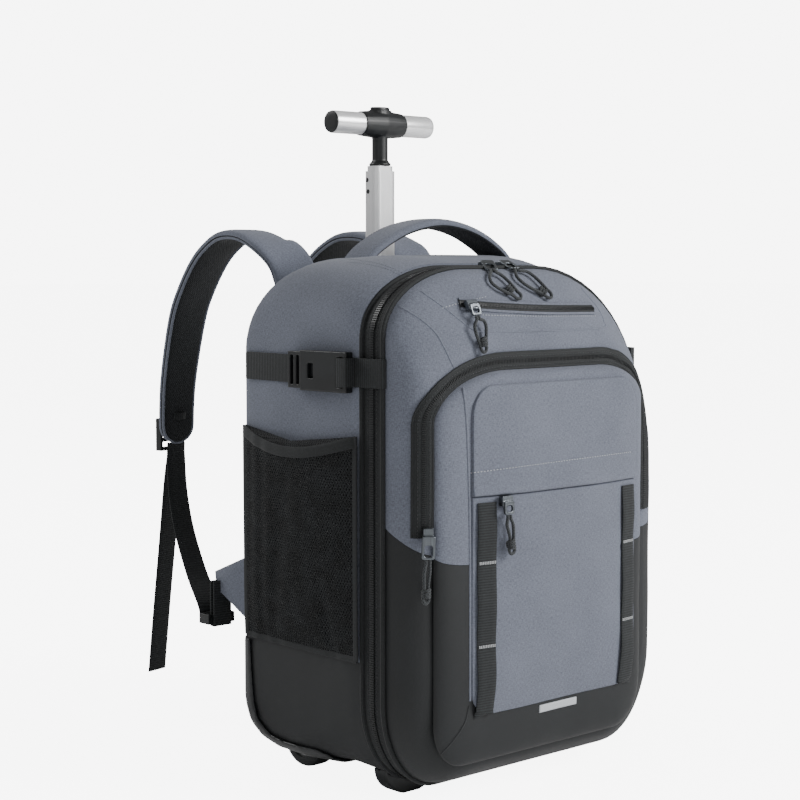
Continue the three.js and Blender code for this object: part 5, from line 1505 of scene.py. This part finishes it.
def make_side_straps():
    for name, _ in SIDES:
        for end in ("rear", "front"):
            node = f"strap_{end}_{name}"
            settle(bevelled(f"side_strap_{end}_{name}", CROSS_WEBBING, 0.5, node), "black_webbing", node)
        for half in ("male", "female"):
            moulded(f"side_buckle_{half}_{name}", SATIN_PLASTIC, 0.65, 4, f"buckle_{half}_{name}")
        for part, grain in (("ladder_lock", 0.7), ("lower_hook", 0.6)):
            moulded(f"moulded_{part}_{name}", SATIN_PLASTIC, grain, 4, f"{part}_{name}")


make_side_straps()


# Top handle: padded strap, grey above and net below

HANDLE_SPAN = 212.0
HANDLE_Y = 110.0
HANDLE_WIDTH = 40.0
HANDLE_THICKNESS = 10.0
HANDLE_TOP = 530.0
HANDLE_SHARES = (-1, -0.78, -0.42, 0, 0.42, 0.78, 1)
HANDLE_FOOT_DEPTH = 14.0
HANDLE_WAIST = 0.07
# Depth below the handle's feet of the point that its underside faces
HANDLE_HOLLOW = 60.0
# Height from which the rays start, well over the handle
OVERHEAD = 600.0
STITCH_INSET = 4.0


def padded_section(width, thickness, steps=28, flat=0.55):
    """An oval flattened on both faces, in metres"""
    points = []
    for i in range(steps):
        turn = 2 * math.pi * i / steps
        across, rise = math.cos(turn), math.sin(turn)
        points.append((
            width / 2 * MM * math.copysign(abs(across) ** flat, across),
            thickness / 2 * MM * math.copysign(abs(rise) ** 0.8, rise),
        ))
    return points


def make_top_handle():
    half = HANDLE_SPAN / 2 - HANDLE_THICKNESS / 2
    rise = HANDLE_TOP - HANDLE_THICKNESS / 2
    base = BAG_HEIGHT - HANDLE_FOOT_DEPTH
    arch = []
    for share in HANDLE_SHARES:
        height = base + (rise - base) * math.cos(share * math.pi / 2) ** 0.75 if abs(share) < 1 else base
        arch.append(place(share * half, HANDLE_Y, height))
    line = even(spline(arch, 90), 3.0 * MM)

    def swell(share):
        return 1.0 - HANDLE_WAIST * (bell(share, 0.0, 0.12) + bell(share, 1.0, 0.12))

    ups = [ahead_at(line, i).cross(Vector((0, 1, 0))) for i in range(len(line))]
    section = padded_section(HANDLE_WIDTH, HANDLE_THICKNESS)
    handle = from_bmesh("top_handle_cloth", swept(line, section, ups, scale=swell), GREY_CLOTH, sharp=70)
    hand = Vector((0, HANDLE_Y, base - HANDLE_HOLLOW))
    second_side(handle, AIR_MESH, lambda spot, normal: normal.dot((spot - hand).normalized()) < -0.35)
    settle(handle, "grey_cloth", "top_handle")
    face = Surface(handle)
    rows = []
    for _, side in SIDES:
        y = HANDLE_Y + side * (HANDLE_WIDTH / 2 - STITCH_INSET)
        row = []
        for i in range(80):
            x = mix(STITCH_INSET - half, half - STITCH_INSET, i / 79)
            row.append(face.hit(place(x, y, OVERHEAD), Vector((0, 0, -1)), STITCH_LIFT))
        rows.append([r for r in row if r])
    stitches("top_handle_stitches", rows, DARK_THREAD, length=2.0, thick=0.5)


make_top_handle()


# Back panel: quilted air mesh pads round the sleeve's channel

BACK_PANEL_HALF = 143.0
BACK_PANEL_TOP = 462.0
BACK_PANEL_BOTTOM = 84.0
BACK_PANEL_THICKNESS = 15.0
BACK_CORNER_TOP = (60.0, 40.0)
BACK_CORNER_FOOT = (24.0, 24.0)
PANEL_EDGE_ROLL = 13.0
PANEL_PIPING_RADIUS = 2.0
QUILT_ROW_DEPTH = 1.5
QUILT_PITCH = 42.0
QUILT_LINE_DEPTH = 3.4
QUILT_LINE_INNER = 58.0
QUILT_LINE_OUTER = 104.0
SPINE_DEPTH = 4.0
SPINE_SPREAD = 12.0
SPINE_HALF = 22.0


def corner_inset(z, edge, radius, away):
    """How far a rounded corner draws the outline in at a height"""
    rx, rz = radius
    inside = min(max((z - edge) * -away, 0.0), rz)
    return rx - rx * math.sqrt(max(0.0, 1 - (1 - inside / rz) ** 2))


def quilting(x, z):
    """Depth of the seams and the spine's hollow that are pressed into the back panel"""
    row = QUILT_ROW_DEPTH * math.sin(math.pi * (z - BACK_PANEL_BOTTOM) / QUILT_PITCH) ** 4
    lines = QUILT_LINE_DEPTH * (bell(abs(x), QUILT_LINE_INNER, 3.4) + bell(abs(x), QUILT_LINE_OUTER, 3.2))
    return lines + SPINE_DEPTH * bell(x, 0.0, SPINE_SPREAD) + row * (abs(x) > SPINE_HALF)


def make_panel_piping(start, channel, channel_y):
    """Piping round the back panel's rim that steps over the channel"""
    rim = []
    for i in range(240):
        turn = 2 * math.pi * i / 240
        high = math.sin(turn) > 0
        rx, rz = BACK_CORNER_TOP if high else BACK_CORNER_FOOT
        edge_z = BACK_PANEL_TOP - rz if high else BACK_PANEL_BOTTOM + rz
        x = math.copysign(1.0, math.cos(turn)) * (BACK_PANEL_HALF - rx) + rx * math.cos(turn)
        rim.append(place(x, start + PANEL_PIPING_RADIUS, edge_z + rz * math.sin(turn)))
    loop = even([*rim, rim[0]], 4 * MM)[:-1]
    for point in loop:
        aside = eased_share((abs(point.x) / MM - channel - 3.0) / 14.0)
        point.y += (channel_y + 0.4 - start) * (1 - aside) * MM
    piping = swept_loop(loop, PANEL_PIPING_RADIUS)
    settle(from_bmesh("back_panel_piping", piping, BLACK_TAPE), "black_webbing")


def make_back_panel():
    start = BACK_FACE + GAP
    channel = SLEEVE_HALF_WIDTH + GAP
    channel_y = POLE_Y + SLEEVE_HALF_DEPTH + GAP
    rings = []
    for up in dense_shares(96):
        z = mix(BACK_PANEL_BOTTOM, BACK_PANEL_TOP, up)
        inset = max(
            corner_inset(z, BACK_PANEL_TOP, BACK_CORNER_TOP, 1),
            corner_inset(z, BACK_PANEL_BOTTOM, BACK_CORNER_FOOT, -1),
        )
        half = max(BACK_PANEL_HALF - inset, 30.0)
        rear = []
        for share in dense_shares(92):
            x = mix(-half, half, share)
            rim = min(half - abs(x), z - BACK_PANEL_BOTTOM, BACK_PANEL_TOP - z)
            soft = edge_step(rim, PANEL_EDGE_ROLL)
            rise = max(2.2, 1.0 + (BACK_PANEL_THICKNESS - 1.0) * soft - quilting(x, z) * soft)
            deep = start + rise
            if abs(x) < channel + 1.0:
                deep = max(deep, channel_y + 1.6)
            rear.append(place(x, deep, z))
        front = [
            place(half, start, z), place(channel, start, z), place(channel, channel_y, z),
            place(-channel, channel_y, z), place(-channel, start, z), place(-half, start, z),
        ]
        rings.append(rear + front)
    work = lofted(rings, caps=False)
    bmesh.ops.holes_fill(work, edges=[e for e in work.edges if e.is_boundary], sides=0)
    bmesh.ops.recalc_face_normals(work, faces=work.faces)
    panel = from_bmesh("back_panel_mesh", work, AIR_MESH, sharp=75)
    settle(panel, "black_mesh", "back_panel")
    make_panel_piping(start, channel, channel_y)


make_back_panel()


# Shoulder straps: padded, grey outside and air mesh inside, with a bound edge

PANEL_REAR = BACK_FACE + GAP + BACK_PANEL_THICKNESS
SHOULDER_WIDTH = 50.0
SHOULDER_SPLAY = math.radians(9.0)
SHOULDER_THICKNESS = 10.0
SPLAY_START = 0.12
SPLAY_SPAN = 0.18
STRAP_STEP = 4.0
STRAP_END_ROUND = 20.0
BINDING_INSET = 0.465
BINDING_RISE = 3.4
BINDING_RADIUS = 1.5
KEEPER_ARCH = [(-8, 0.2), (-5, 2.0), (0, 2.8), (5, 2.0), (8, 0.2)]
SHOULDER_X = 80.0
SHOULDER_REACH = {"left": 171.0, "right": 186.0}
SHOULDER_END = 300.0
SHOULDER_TOP = 516.0
SHOULDER_ROUTE = table(
    "out rise left right",
    (0.0, 0.64, 1.0, 1.0), (0.0, 0.76, 1.05, 0.95), (0.01, 0.87, 1.18, 0.88),
    (0.07, 0.94, 1.33, 0.8), (0.22, 0.99, 1.38, 0.72), (0.395, 0.99, 1.39, 0.68),
    (0.54, 0.94, 1.39, 0.66), (0.66, 0.866, 1.39, 0.65), (0.775, 0.755, 1.39, 0.65),
    (0.86, 0.634, 1.4, 0.65), (0.93, 0.463, 1.4, 0.65), (0.978, 0.3, 1.4, 0.65),
    (0.995, 0.19, 1.4, 0.65), (1.0, 0.11, 1.4, 0.65), (1.0, 0.0, 1.4, 0.65),
)


def shoulder_line(name, side):
    start = PANEL_REAR + GAP + SHOULDER_THICKNESS / 2
    spots = []
    for row in SHOULDER_ROUTE:
        x = side * SHOULDER_X * row[name]
        z = mix(SHOULDER_END, SHOULDER_TOP, row["rise"])
        spots.append(place(x, start + row["out"] * SHOULDER_REACH[name], z))
    return even(spline(spots, 220), STRAP_STEP * MM)


def strap_axes(line, side):
    """Across and inward directions at each point: inward is the side that lies on the wearer"""
    axes = []
    for i in range(len(line)):
        share = i / (len(line) - 1)
        turn = -side * SHOULDER_SPLAY * eased_share((share - SPLAY_START) / SPLAY_SPAN)
        across = Vector((math.cos(turn), math.sin(turn), 0))
        ahead = ahead_at(line, i)
        across = (across - ahead * across.dot(ahead)).normalized()
        axes.append((across, ahead.cross(across)))
    return axes


def thinned(width_share):
    """A strap's share of its full thickness where it has this share of its full width"""
    return 0.55 + 0.45 * width_share


def strap_shape(i, last):
    """A strap's shares of its full width and thickness at a point: round at its end, and narrower near it"""
    left = (last - i) * STRAP_STEP
    taper = math.sqrt(max(0.06, 1 - max(0.0, 1 - left / STRAP_END_ROUND) ** 2.4))
    narrow = 1 - 0.1 * bell(i / last, 1.0, 0.25)
    return taper * narrow, thinned(taper)


def make_shoulder_strap(name, side):
    line = shoulder_line(name, side)
    axes = strap_axes(line, side)
    section = padded_section(SHOULDER_WIDTH, SHOULDER_THICKNESS, steps=36, flat=0.42)
    last = len(line) - 1
    spots = [(point, *axes[i], *strap_shape(i, last)) for i, point in enumerate(line)]
    rings = [
        [point + across * a * wide + inward * b * deep for a, b in section]
        for point, across, inward, wide, deep in spots
    ]
    strap = from_bmesh(f"shoulder_strap_cloth_{name}", lofted(rings), GREY_CLOTH, sharp=75)
    strap.data.materials.append(AIR_MESH)
    for face in strap.data.polygons:
        nearest = min(range(0, last + 1, 2), key=lambda k: (line[k] - face.center).length_squared)
        if face.normal.dot(axes[nearest][1]) > 0.3:
            face.material_index = 1
    settle(strap, "grey_cloth", f"shoulder_strap_{name}")
    loop = []
    for way, row in ((1, spots), (-1, spots[::-1])):
        for point, across, inward, wide, _ in row:
            aside = across * way * SHOULDER_WIDTH * MM * BINDING_INSET * wide
            loop.append(point + aside + inward * BINDING_RISE * MM * thinned(wide))
    binding = swept(even(loop, 3 * MM), in_metres(round_section(BINDING_RADIUS, 8)))
    settle(from_bmesh(f"shoulder_binding_{name}", binding, GREY_CLOTH), "grey_cloth")
    point, across, inward = spots[-8][:3]
    spot = point + inward * (SHOULDER_THICKNESS / 2 + 0.4) * MM
    keeper = spline([spot + across * x * MM + inward * rise * MM for x, rise in KEEPER_ARCH], 16)
    work = swept(keeper, in_metres(flat_section(7.0, 1.2)), [inward] * len(keeper))
    settle(from_bmesh(f"shoulder_keeper_{name}", work, BLACK_WEBBING), "black_webbing")
    return line[-1]


WEB_WIDTH = 25.0
WEB_THICKNESS = 1.8
TAIL_LENGTH = 248.0
TAIL_DRIFT = 40.0
HOOK_X = 150.0
HOOK_Y = BACK_FACE + 70.0
HOOK_HEIGHT = 138.0
HOOK_DEPTH = 16.0
HOOK_RISE = 10.0
WEB_ROUTE = table(
    "aside back fall",
    (0.0, 0.0, 0.0), (0.03, 0.01, 0.08), (0.2, 0.12, 0.3), (0.42, 0.32, 0.52), (0.7, 0.63, 0.74),
    (1.0, 0.95, 0.9), (1.0, 1.0, 1.0),
)
TAIL_ROUTE = table(
    "away fall",
    (0.0, 0.0), (0.04, 0.05), (0.2, 0.17), (0.42, 0.4), (0.72, 0.7), (1.0, 1.0),
)


def make_adjusting_webbing(name, side):
    """The webbing from the strap's lock down to the hook, and its free tail"""
    top = unplace(make_shoulder_strap(name, side))
    start = (top.x, top.y, top.z - GAP)
    goal = (side * HOOK_X, HOOK_Y + HOOK_DEPTH / 2 + GAP + WEB_THICKNESS / 2, HOOK_HEIGHT - HOOK_RISE / 2)
    main = []
    for row in WEB_ROUTE:
        x = mix(start[0], goal[0], row["aside"])
        y = mix(start[1], goal[1], row["back"])
        main.append(place(x, y, mix(start[2], goal[2], row["fall"])))
    tail = [
        place(start[0], start[1] + row["away"] * TAIL_DRIFT, start[2] - row["fall"] * TAIL_LENGTH)
        for row in TAIL_ROUTE
    ]
    pieces = []
    for part, route, width in (("main", main, WEB_WIDTH), ("tail", tail, WEB_WIDTH - 1.0)):
        line = even(spline(route, 120), 3.0 * MM)
        ups = []
        for i in range(len(line)):
            share = i / (len(line) - 1)
            turn = -side * SHOULDER_SPLAY * (1 - share if part == "main" else 1.0)
            ups.append(ahead_at(line, i).cross(Vector((math.cos(turn), math.sin(turn), 0))))
        section = in_metres(flat_section(width, WEB_THICKNESS))
        pieces.append(from_bmesh(f"adjusting_{part}_{name}", swept(line, section, ups), BLACK_WEBBING))
    settle(pieces[0], "black_webbing", f"adjust_webbing_{name}")
    settle(pieces[1], "black_webbing")

    def loop_side(spot, normal):
        """The anchor's webbing loop, which is wider than the cloth tab and lies low behind it"""
        return abs(abs(spot.x) - HOOK_X) > 2.6 or (spot.y > 244.0 and spot.z < 167.0)

    node = f"anchor_tab_{name}"
    tab = bevelled(f"anchor_cloth_{name}", GREY_CLOTH, 0.7, node)
    second_side(tab, FLAT_WEBBING, loop_side)
    settle(tab, "grey_cloth", node)


for side_name, side_sign in SIDES:
    make_adjusting_webbing(side_name, side_sign)


# Pole, handle and grips

GRIP_HEIGHT = 624.0
GRIP_RADIUS = 11.0
GRIP_HALF = 62.5
HUB_HALF = 27.0
GRIP_START = HUB_HALF * 0.6 + GAP
RIVETS = [(367, 180), (368, 191.5)]
RIVET_PROFILE = [(2.3, -0.3), (2.3, 0.05), (2.0, 0.1), (0.6, 0.12)]
# Room under the button, above the hub's eased floor, so that its stroke stays free
BUTTON_FOOT_ROOM = 1.2


def lathed(profile, centre, axis, steps=48, looped=False):
    """A bmesh turned about an axis through centre. profile is (radius, along), looped if it closes on itself."""
    side = axis.orthogonal().normalized()
    up = axis.cross(side)
    turns = [2 * math.pi * i / steps for i in range(steps)]
    circle = [side * math.cos(turn) + up * math.sin(turn) for turn in turns]
    rings = [[centre + (axis * along + out * radius) * MM for out in circle] for radius, along in profile]
    return lofted(rings, looped=looped)


def make_grip(name, side):
    centre = place(0, POLE_Y, GRIP_HEIGHT)
    axis = Vector((side, 0, 0))
    tube = [
        (GRIP_RADIUS - 1.5, GRIP_START), (GRIP_RADIUS, GRIP_START), (GRIP_RADIUS, GRIP_START + 2.0),
        (GRIP_RADIUS, GRIP_HALF - 1.0), (GRIP_RADIUS - 0.3, GRIP_HALF), (GRIP_RADIUS - 1.5, GRIP_HALF),
    ]
    sleeve = from_bmesh(f"grip_sleeve_{name}", lathed(tube, centre, axis, looped=True), BRIGHT_GRIP)
    settle(sleeve, "aluminium", f"grip_tube_{name}")
    inside = GRIP_RADIUS - 1.8
    cap = [
        (inside, GRIP_HALF - 8.0), (inside, GRIP_HALF + GAP), (GRIP_RADIUS - 0.4, GRIP_HALF + GAP),
        (GRIP_RADIUS - 0.6, GRIP_HALF + 1.0), (inside, GRIP_HALF + 1.5), (GRIP_RADIUS - 6.0, GRIP_HALF + 1.6),
    ]
    plug = from_bmesh(f"grip_plug_{name}", lathed(cap, centre, axis), SATIN_PLASTIC)
    settle(plug, "black_plastic", f"grip_cap_{name}")


def make_rivets():
    """Rivets on the lower tube, where the photograph's rays meet it"""
    tube = bpy.data.objects["pole_tube_lower"]
    points = [tube.matrix_world @ v.co for v in tube.data.vertices]
    tree = BVHTree.FromPolygons(points, [tuple(p.vertices) for p in tube.data.polygons])
    for i, (px, py) in enumerate(RIVETS):
        spot, normal, _, _ = tree.ray_cast(place(*CAMERA_SPOT), pixel_ray(px, py))
        if spot is None:
            continue
        turned = lathed(RIVET_PROFILE, spot, normal.normalized(), 20)
        rivet = from_bmesh(f"pole_rivet_{i}", turned, SATIN_PLASTIC)
        settle(rivet, "black_plastic", body="pole_lower")


def make_pole():
    for node, finish in (("tube_lower", BRIGHT_TUBE), ("tube_upper", BRIGHT_TUBE), ("sleeve", SATIN_PLASTIC)):
        bpy.data.objects[f"pole_{node}"].data.materials[0] = finish
    moulded("handle_hub_moulding", SATIN_PLASTIC, 0.8, 6, "handle_hub")
    cap = bevelled("release_button_cap", SATIN_PLASTIC, 1.0, "release_button")
    settle(cap, "black_plastic", "release_button")
    foot = min(v.co.z for v in cap.data.vertices)
    for vert in cap.data.vertices:
        if vert.co.z < foot + 2.0 * MM:
            vert.co.z += BUTTON_FOOT_ROOM * MM
    for name, side in SIDES:
        make_grip(name, side)
    make_rivets()


make_pole()


# Corner guards, wheels and feet

WHEEL_HALF = 11.0
AXLE_RADIUS = 3.9
HUB_REACH = 21.3
# A wheel's face from its axle to its tread: radius, and depth below the tyre's widest part
WHEEL_FACE = [
    (AXLE_RADIUS, 2.2), (8.0, 2.2), (9.0, 3.6), (18.0, 3.6), (19.6, 2.2), (21.0, 2.0), (21.6, 0.4), (23.0, 0.0),
    (26.6, 0.0), (28.6, 1.0), (29.7, 3.4), (30.0, 6.4),
]


def make_wheels():
    for name, side in SIDES:
        moulded(f"corner_moulding_{name}", GUARD_PLASTIC, 1.5, 5, f"corner_guard_{name}")
        moulded(f"foot_moulding_{name}", GUARD_PLASTIC, 1.2, 4, f"foot_{name}")
        node = f"wheel_{name}"
        low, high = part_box(node)
        centre = (Vector(low) + Vector(high)) / 2
        stub = (high[0] - low[0]) / 2 / MM
        profile = [(AXLE_RADIUS, -stub), *[(radius, depth - WHEEL_HALF) for radius, depth in WHEEL_FACE]]
        profile += [(radius, -along) for radius, along in reversed(profile)]
        turned = lathed(profile, centre, Vector((1, 0, 0)), 72)
        wheel = from_bmesh(f"wheel_tyre_{name}", turned, TYRE_RUBBER, sharp=30)

        def in_hub(spot, normal, centre=centre):
            offset = place(*spot) - centre
            return math.hypot(offset.y, offset.z) < HUB_REACH * MM

        second_side(wheel, SATIN_PLASTIC, in_hub)
        settle(wheel, "wheel_rubber", node)


make_wheels()


# Zip pulls and their cords

CORD_DIAMETER = 3.0
CORD_EXIT = 0.5
SLIDER_RISE = 3.2
KNOT_CORD_RADIUS = 1.4
KNOT_RADIUS = 3.1
KNOT_PITCH = 2.1
KNOT_SLANT = 0.8
KNOT_SETBACK = 9.0
PULLS = [
    {
        "name": "main_left",
        "slider": (-34, -2, 486),
        "out": (0, 0, 1),
        "tip": (-46, -21.5, 481),
        "cord": [
            (-50.5, -25, 479.5), (-55.5, -28, 475), (-56.5, -31.5, 470), (-51.5, -34.8, 465.2),
            (-44.5, -37, 461.8), (-38, -38.6, 459.2), (-33, -40.2, 455.8), (-28.6, -40.6, 455.6),
            (-27.5, -39.4, 459), (-29.8, -37.4, 462), (-32, -34.6, 466.2), (-35, -31, 471.2),
            (-39, -27.5, 476), (-43.5, -25, 479.8),
        ],
    },
    {
        "name": "main_right",
        "slider": (-12, -2, 486),
        "out": (0, 0, 1),
        "tip": (-15, -19.5, 482),
        "cord": [
            (-18.6, -23, 480.6), (-20.6, -27.4, 475.6), (-17.4, -31.6, 470), (-10.4, -35, 465),
            (-3, -37.2, 461.6), (3, -38.8, 459), (7.6, -40.4, 455.8), (11.8, -40.4, 456.2),
            (12.4, -38.8, 460), (9.6, -36.4, 463.6), (6.4, -32.6, 469), (2, -28, 475),
            (-4, -24.4, 479.4), (-10.6, -22.6, 481.4),
        ],
    },
    {
        "name": "quick",
        "slider": (-92, -42.6, 450.6),
        "out": (0, -0.85, 0.53),
        "tip": (-91, -48.5, 442),
        "cord": [
            (-94.5, -49.6, 438.4), (-95.6, -50.2, 433), (-94.4, -50.4, 427), (-92, -50.6, 421.6),
            (-89.8, -51, 416.4), (-88.6, -51.4, 412.4), (-86, -51.6, 409.6), (-82.6, -51.4, 411),
            (-82, -51, 415.4), (-82, -50.6, 421), (-81.6, -50.4, 427), (-81.8, -50.2, 432.6),
            (-84, -49.8, 437), (-88, -49.6, 439.4),
        ],
    },
    {
        "name": "pocket",
        "slider": (-149.5, -48.6, 254),
        "out": (-0.45, -0.89, 0),
        "tip": (-151.5, -51, 233.5),
        "cord": [
            (-153.8, -51, 229.8), (-155.4, -50.8, 224), (-155.8, -50.6, 217.6), (-155.4, -50.4, 211),
            (-155.6, -50.2, 204.6), (-156.4, -50, 199.6), (-154.4, -50, 195.8), (-150.8, -50, 196.6),
            (-149.6, -50.2, 200.6), (-151, -50.4, 205.4), (-151, -50.6, 211), (-150, -50.8, 217.6),
            (-149.2, -51, 224), (-149.6, -51, 229.8),
        ],
    },
    {
        "name": "lower",
        "slider": (-75, -69.3, 279.6),
        "out": (0, -1, 0),
        "tip": (-75, -73, 268),
        "cord": [
            (-78.6, -72.6, 264.4), (-77.4, -72.8, 259), (-75.4, -72.8, 253), (-73.6, -72.8, 247),
            (-73.6, -72.8, 241), (-74.6, -72.8, 236.6), (-72.4, -72.8, 232.8), (-68.8, -72.8, 233.6),
            (-67.6, -72.8, 237.6), (-68.8, -72.8, 242), (-69, -72.8, 247), (-69.2, -72.8, 253),
            (-70, -72.8, 259), (-71.8, -72.6, 264.4),
        ],
    },
]


def make_knot(name, line):
    """Three turns of cord round both sides of the loop, short of its far end"""
    middle = line[len(line) // 2]
    lay = (middle - line[0]).normalized()
    side = lay.orthogonal().normalized()
    up = lay.cross(side)
    section = in_metres(round_section(KNOT_CORD_RADIUS, 8))
    knots = []
    for k in range(3):
        centre = middle + lay * ((k - 1) * KNOT_PITCH - KNOT_SETBACK) * MM
        turn = []
        for i in range(20):
            angle = 2 * math.pi * i / 20
            out = side * math.cos(angle) + up * math.sin(angle)
            turn.append(centre + out * KNOT_RADIUS * MM + lay * math.sin(angle + k) * KNOT_SLANT * MM)
        work = swept([*turn, turn[0]], section)
        knots.append(settle(from_bmesh(f"cord_knot_{name}_{k}", work, CORD_BRAID), "pull_cord"))
    return knots


def make_pull(pull):
    name = pull["name"]
    ring_piece = eased(f"zip_ring_{name}", GUNMETAL, 0.4, 4, f"zip_pull_{name}")
    settle(ring_piece, "zip_metal", f"zip_pull_{name}")
    out = Vector(pull["out"]).normalized()
    tip = Vector(pull["tip"])
    root = Vector(pull["slider"]) + out * SLIDER_RISE
    down = (tip - root).normalized()
    face = (out - down * out.dot(down)).normalized()
    width = down.cross(face)
    first = tip + down * CORD_EXIT
    loop = [Vector(p) for p in pull["cord"]]
    exits = [first + width * way * CORD_DIAMETER * 0.6 for way in (-1, 1)]
    exits.sort(key=lambda e: (e - loop[0]).length)
    leads = [e + down * CORD_DIAMETER for e in exits]
    route = [exits[0], leads[0], *loop[1:-1], leads[1], exits[1]]
    line = even(spline([place(*p) for p in route], 160), 0.8 * MM)
    section = in_metres(round_section(CORD_DIAMETER / 2, 10))
    cord = from_bmesh(f"pull_cord_{name}", swept(line, section), CORD_BRAID)
    settle(cord, "pull_cord", f"zip_cord_{name}")
    knots = make_knot(name, line)
    length = sum((b - a).length for a, b in zip(line, line[1:]))


for pull in PULLS:
    make_pull(pull)


# Floor and light

WHITE = (1.0, 1.0, 1.0, 1.0)
SKY_LIGHT = 0.34
BACKDROP_GLOW = 7.0
PAPER_GLOW = 6.8


def make_stage():
    work = bmesh.new()
    bmesh.ops.create_grid(work, x_segments=1, y_segments=1, size=30.0)
    paper = Finish("studio_floor_white", roughness=0.9, Base_Color=WHITE, Emission_Color=WHITE)
    paper.set("Emission Strength", Wire(paper, paper.node("ShaderNodeLightPath").outputs[0]) * PAPER_GLOW)
    from_bmesh("studio_floor", work, paper.material)
    world = bpy.data.worlds.new("studio_light")
    world.use_nodes = True
    backdrop = world.node_tree.nodes["Background"]
    backdrop.inputs["Color"].default_value = WHITE
    seen = world.node_tree.nodes.new("ShaderNodeLightPath")
    glow = world.node_tree.nodes.new("ShaderNodeMath")
    glow.operation = "MULTIPLY_ADD"
    glow.inputs[1].default_value = BACKDROP_GLOW
    glow.inputs[2].default_value = SKY_LIGHT
    world.node_tree.links.new(seen.outputs[0], glow.inputs[0])
    world.node_tree.links.new(glow.outputs[0], backdrop.inputs["Strength"])
    bpy.context.scene.world = world
    lamps = [
        ("key_light", (1.6, -2.8, 1.9), 1.8, 135.0),
        ("fill_light", (-2.6, -1.2, 1.6), 1.6, 8.0),
        ("back_light", (-1.2, 2.2, 2.2), 1.6, 40.0),
    ]
    for name, spot, size, power in lamps:
        data = bpy.data.lights.new(name, "AREA")
        data.shape = "DISK"
        data.size = size
        data.energy = power
        lamp = bpy.data.objects.new(name, data)
        lamp.location = spot
        lamp.rotation_euler = (Vector((0, 0, 0.25)) - Vector(spot)).to_track_quat("-Z", "Y").to_euler()
        bpy.context.scene.collection.objects.link(lamp)


make_stage()
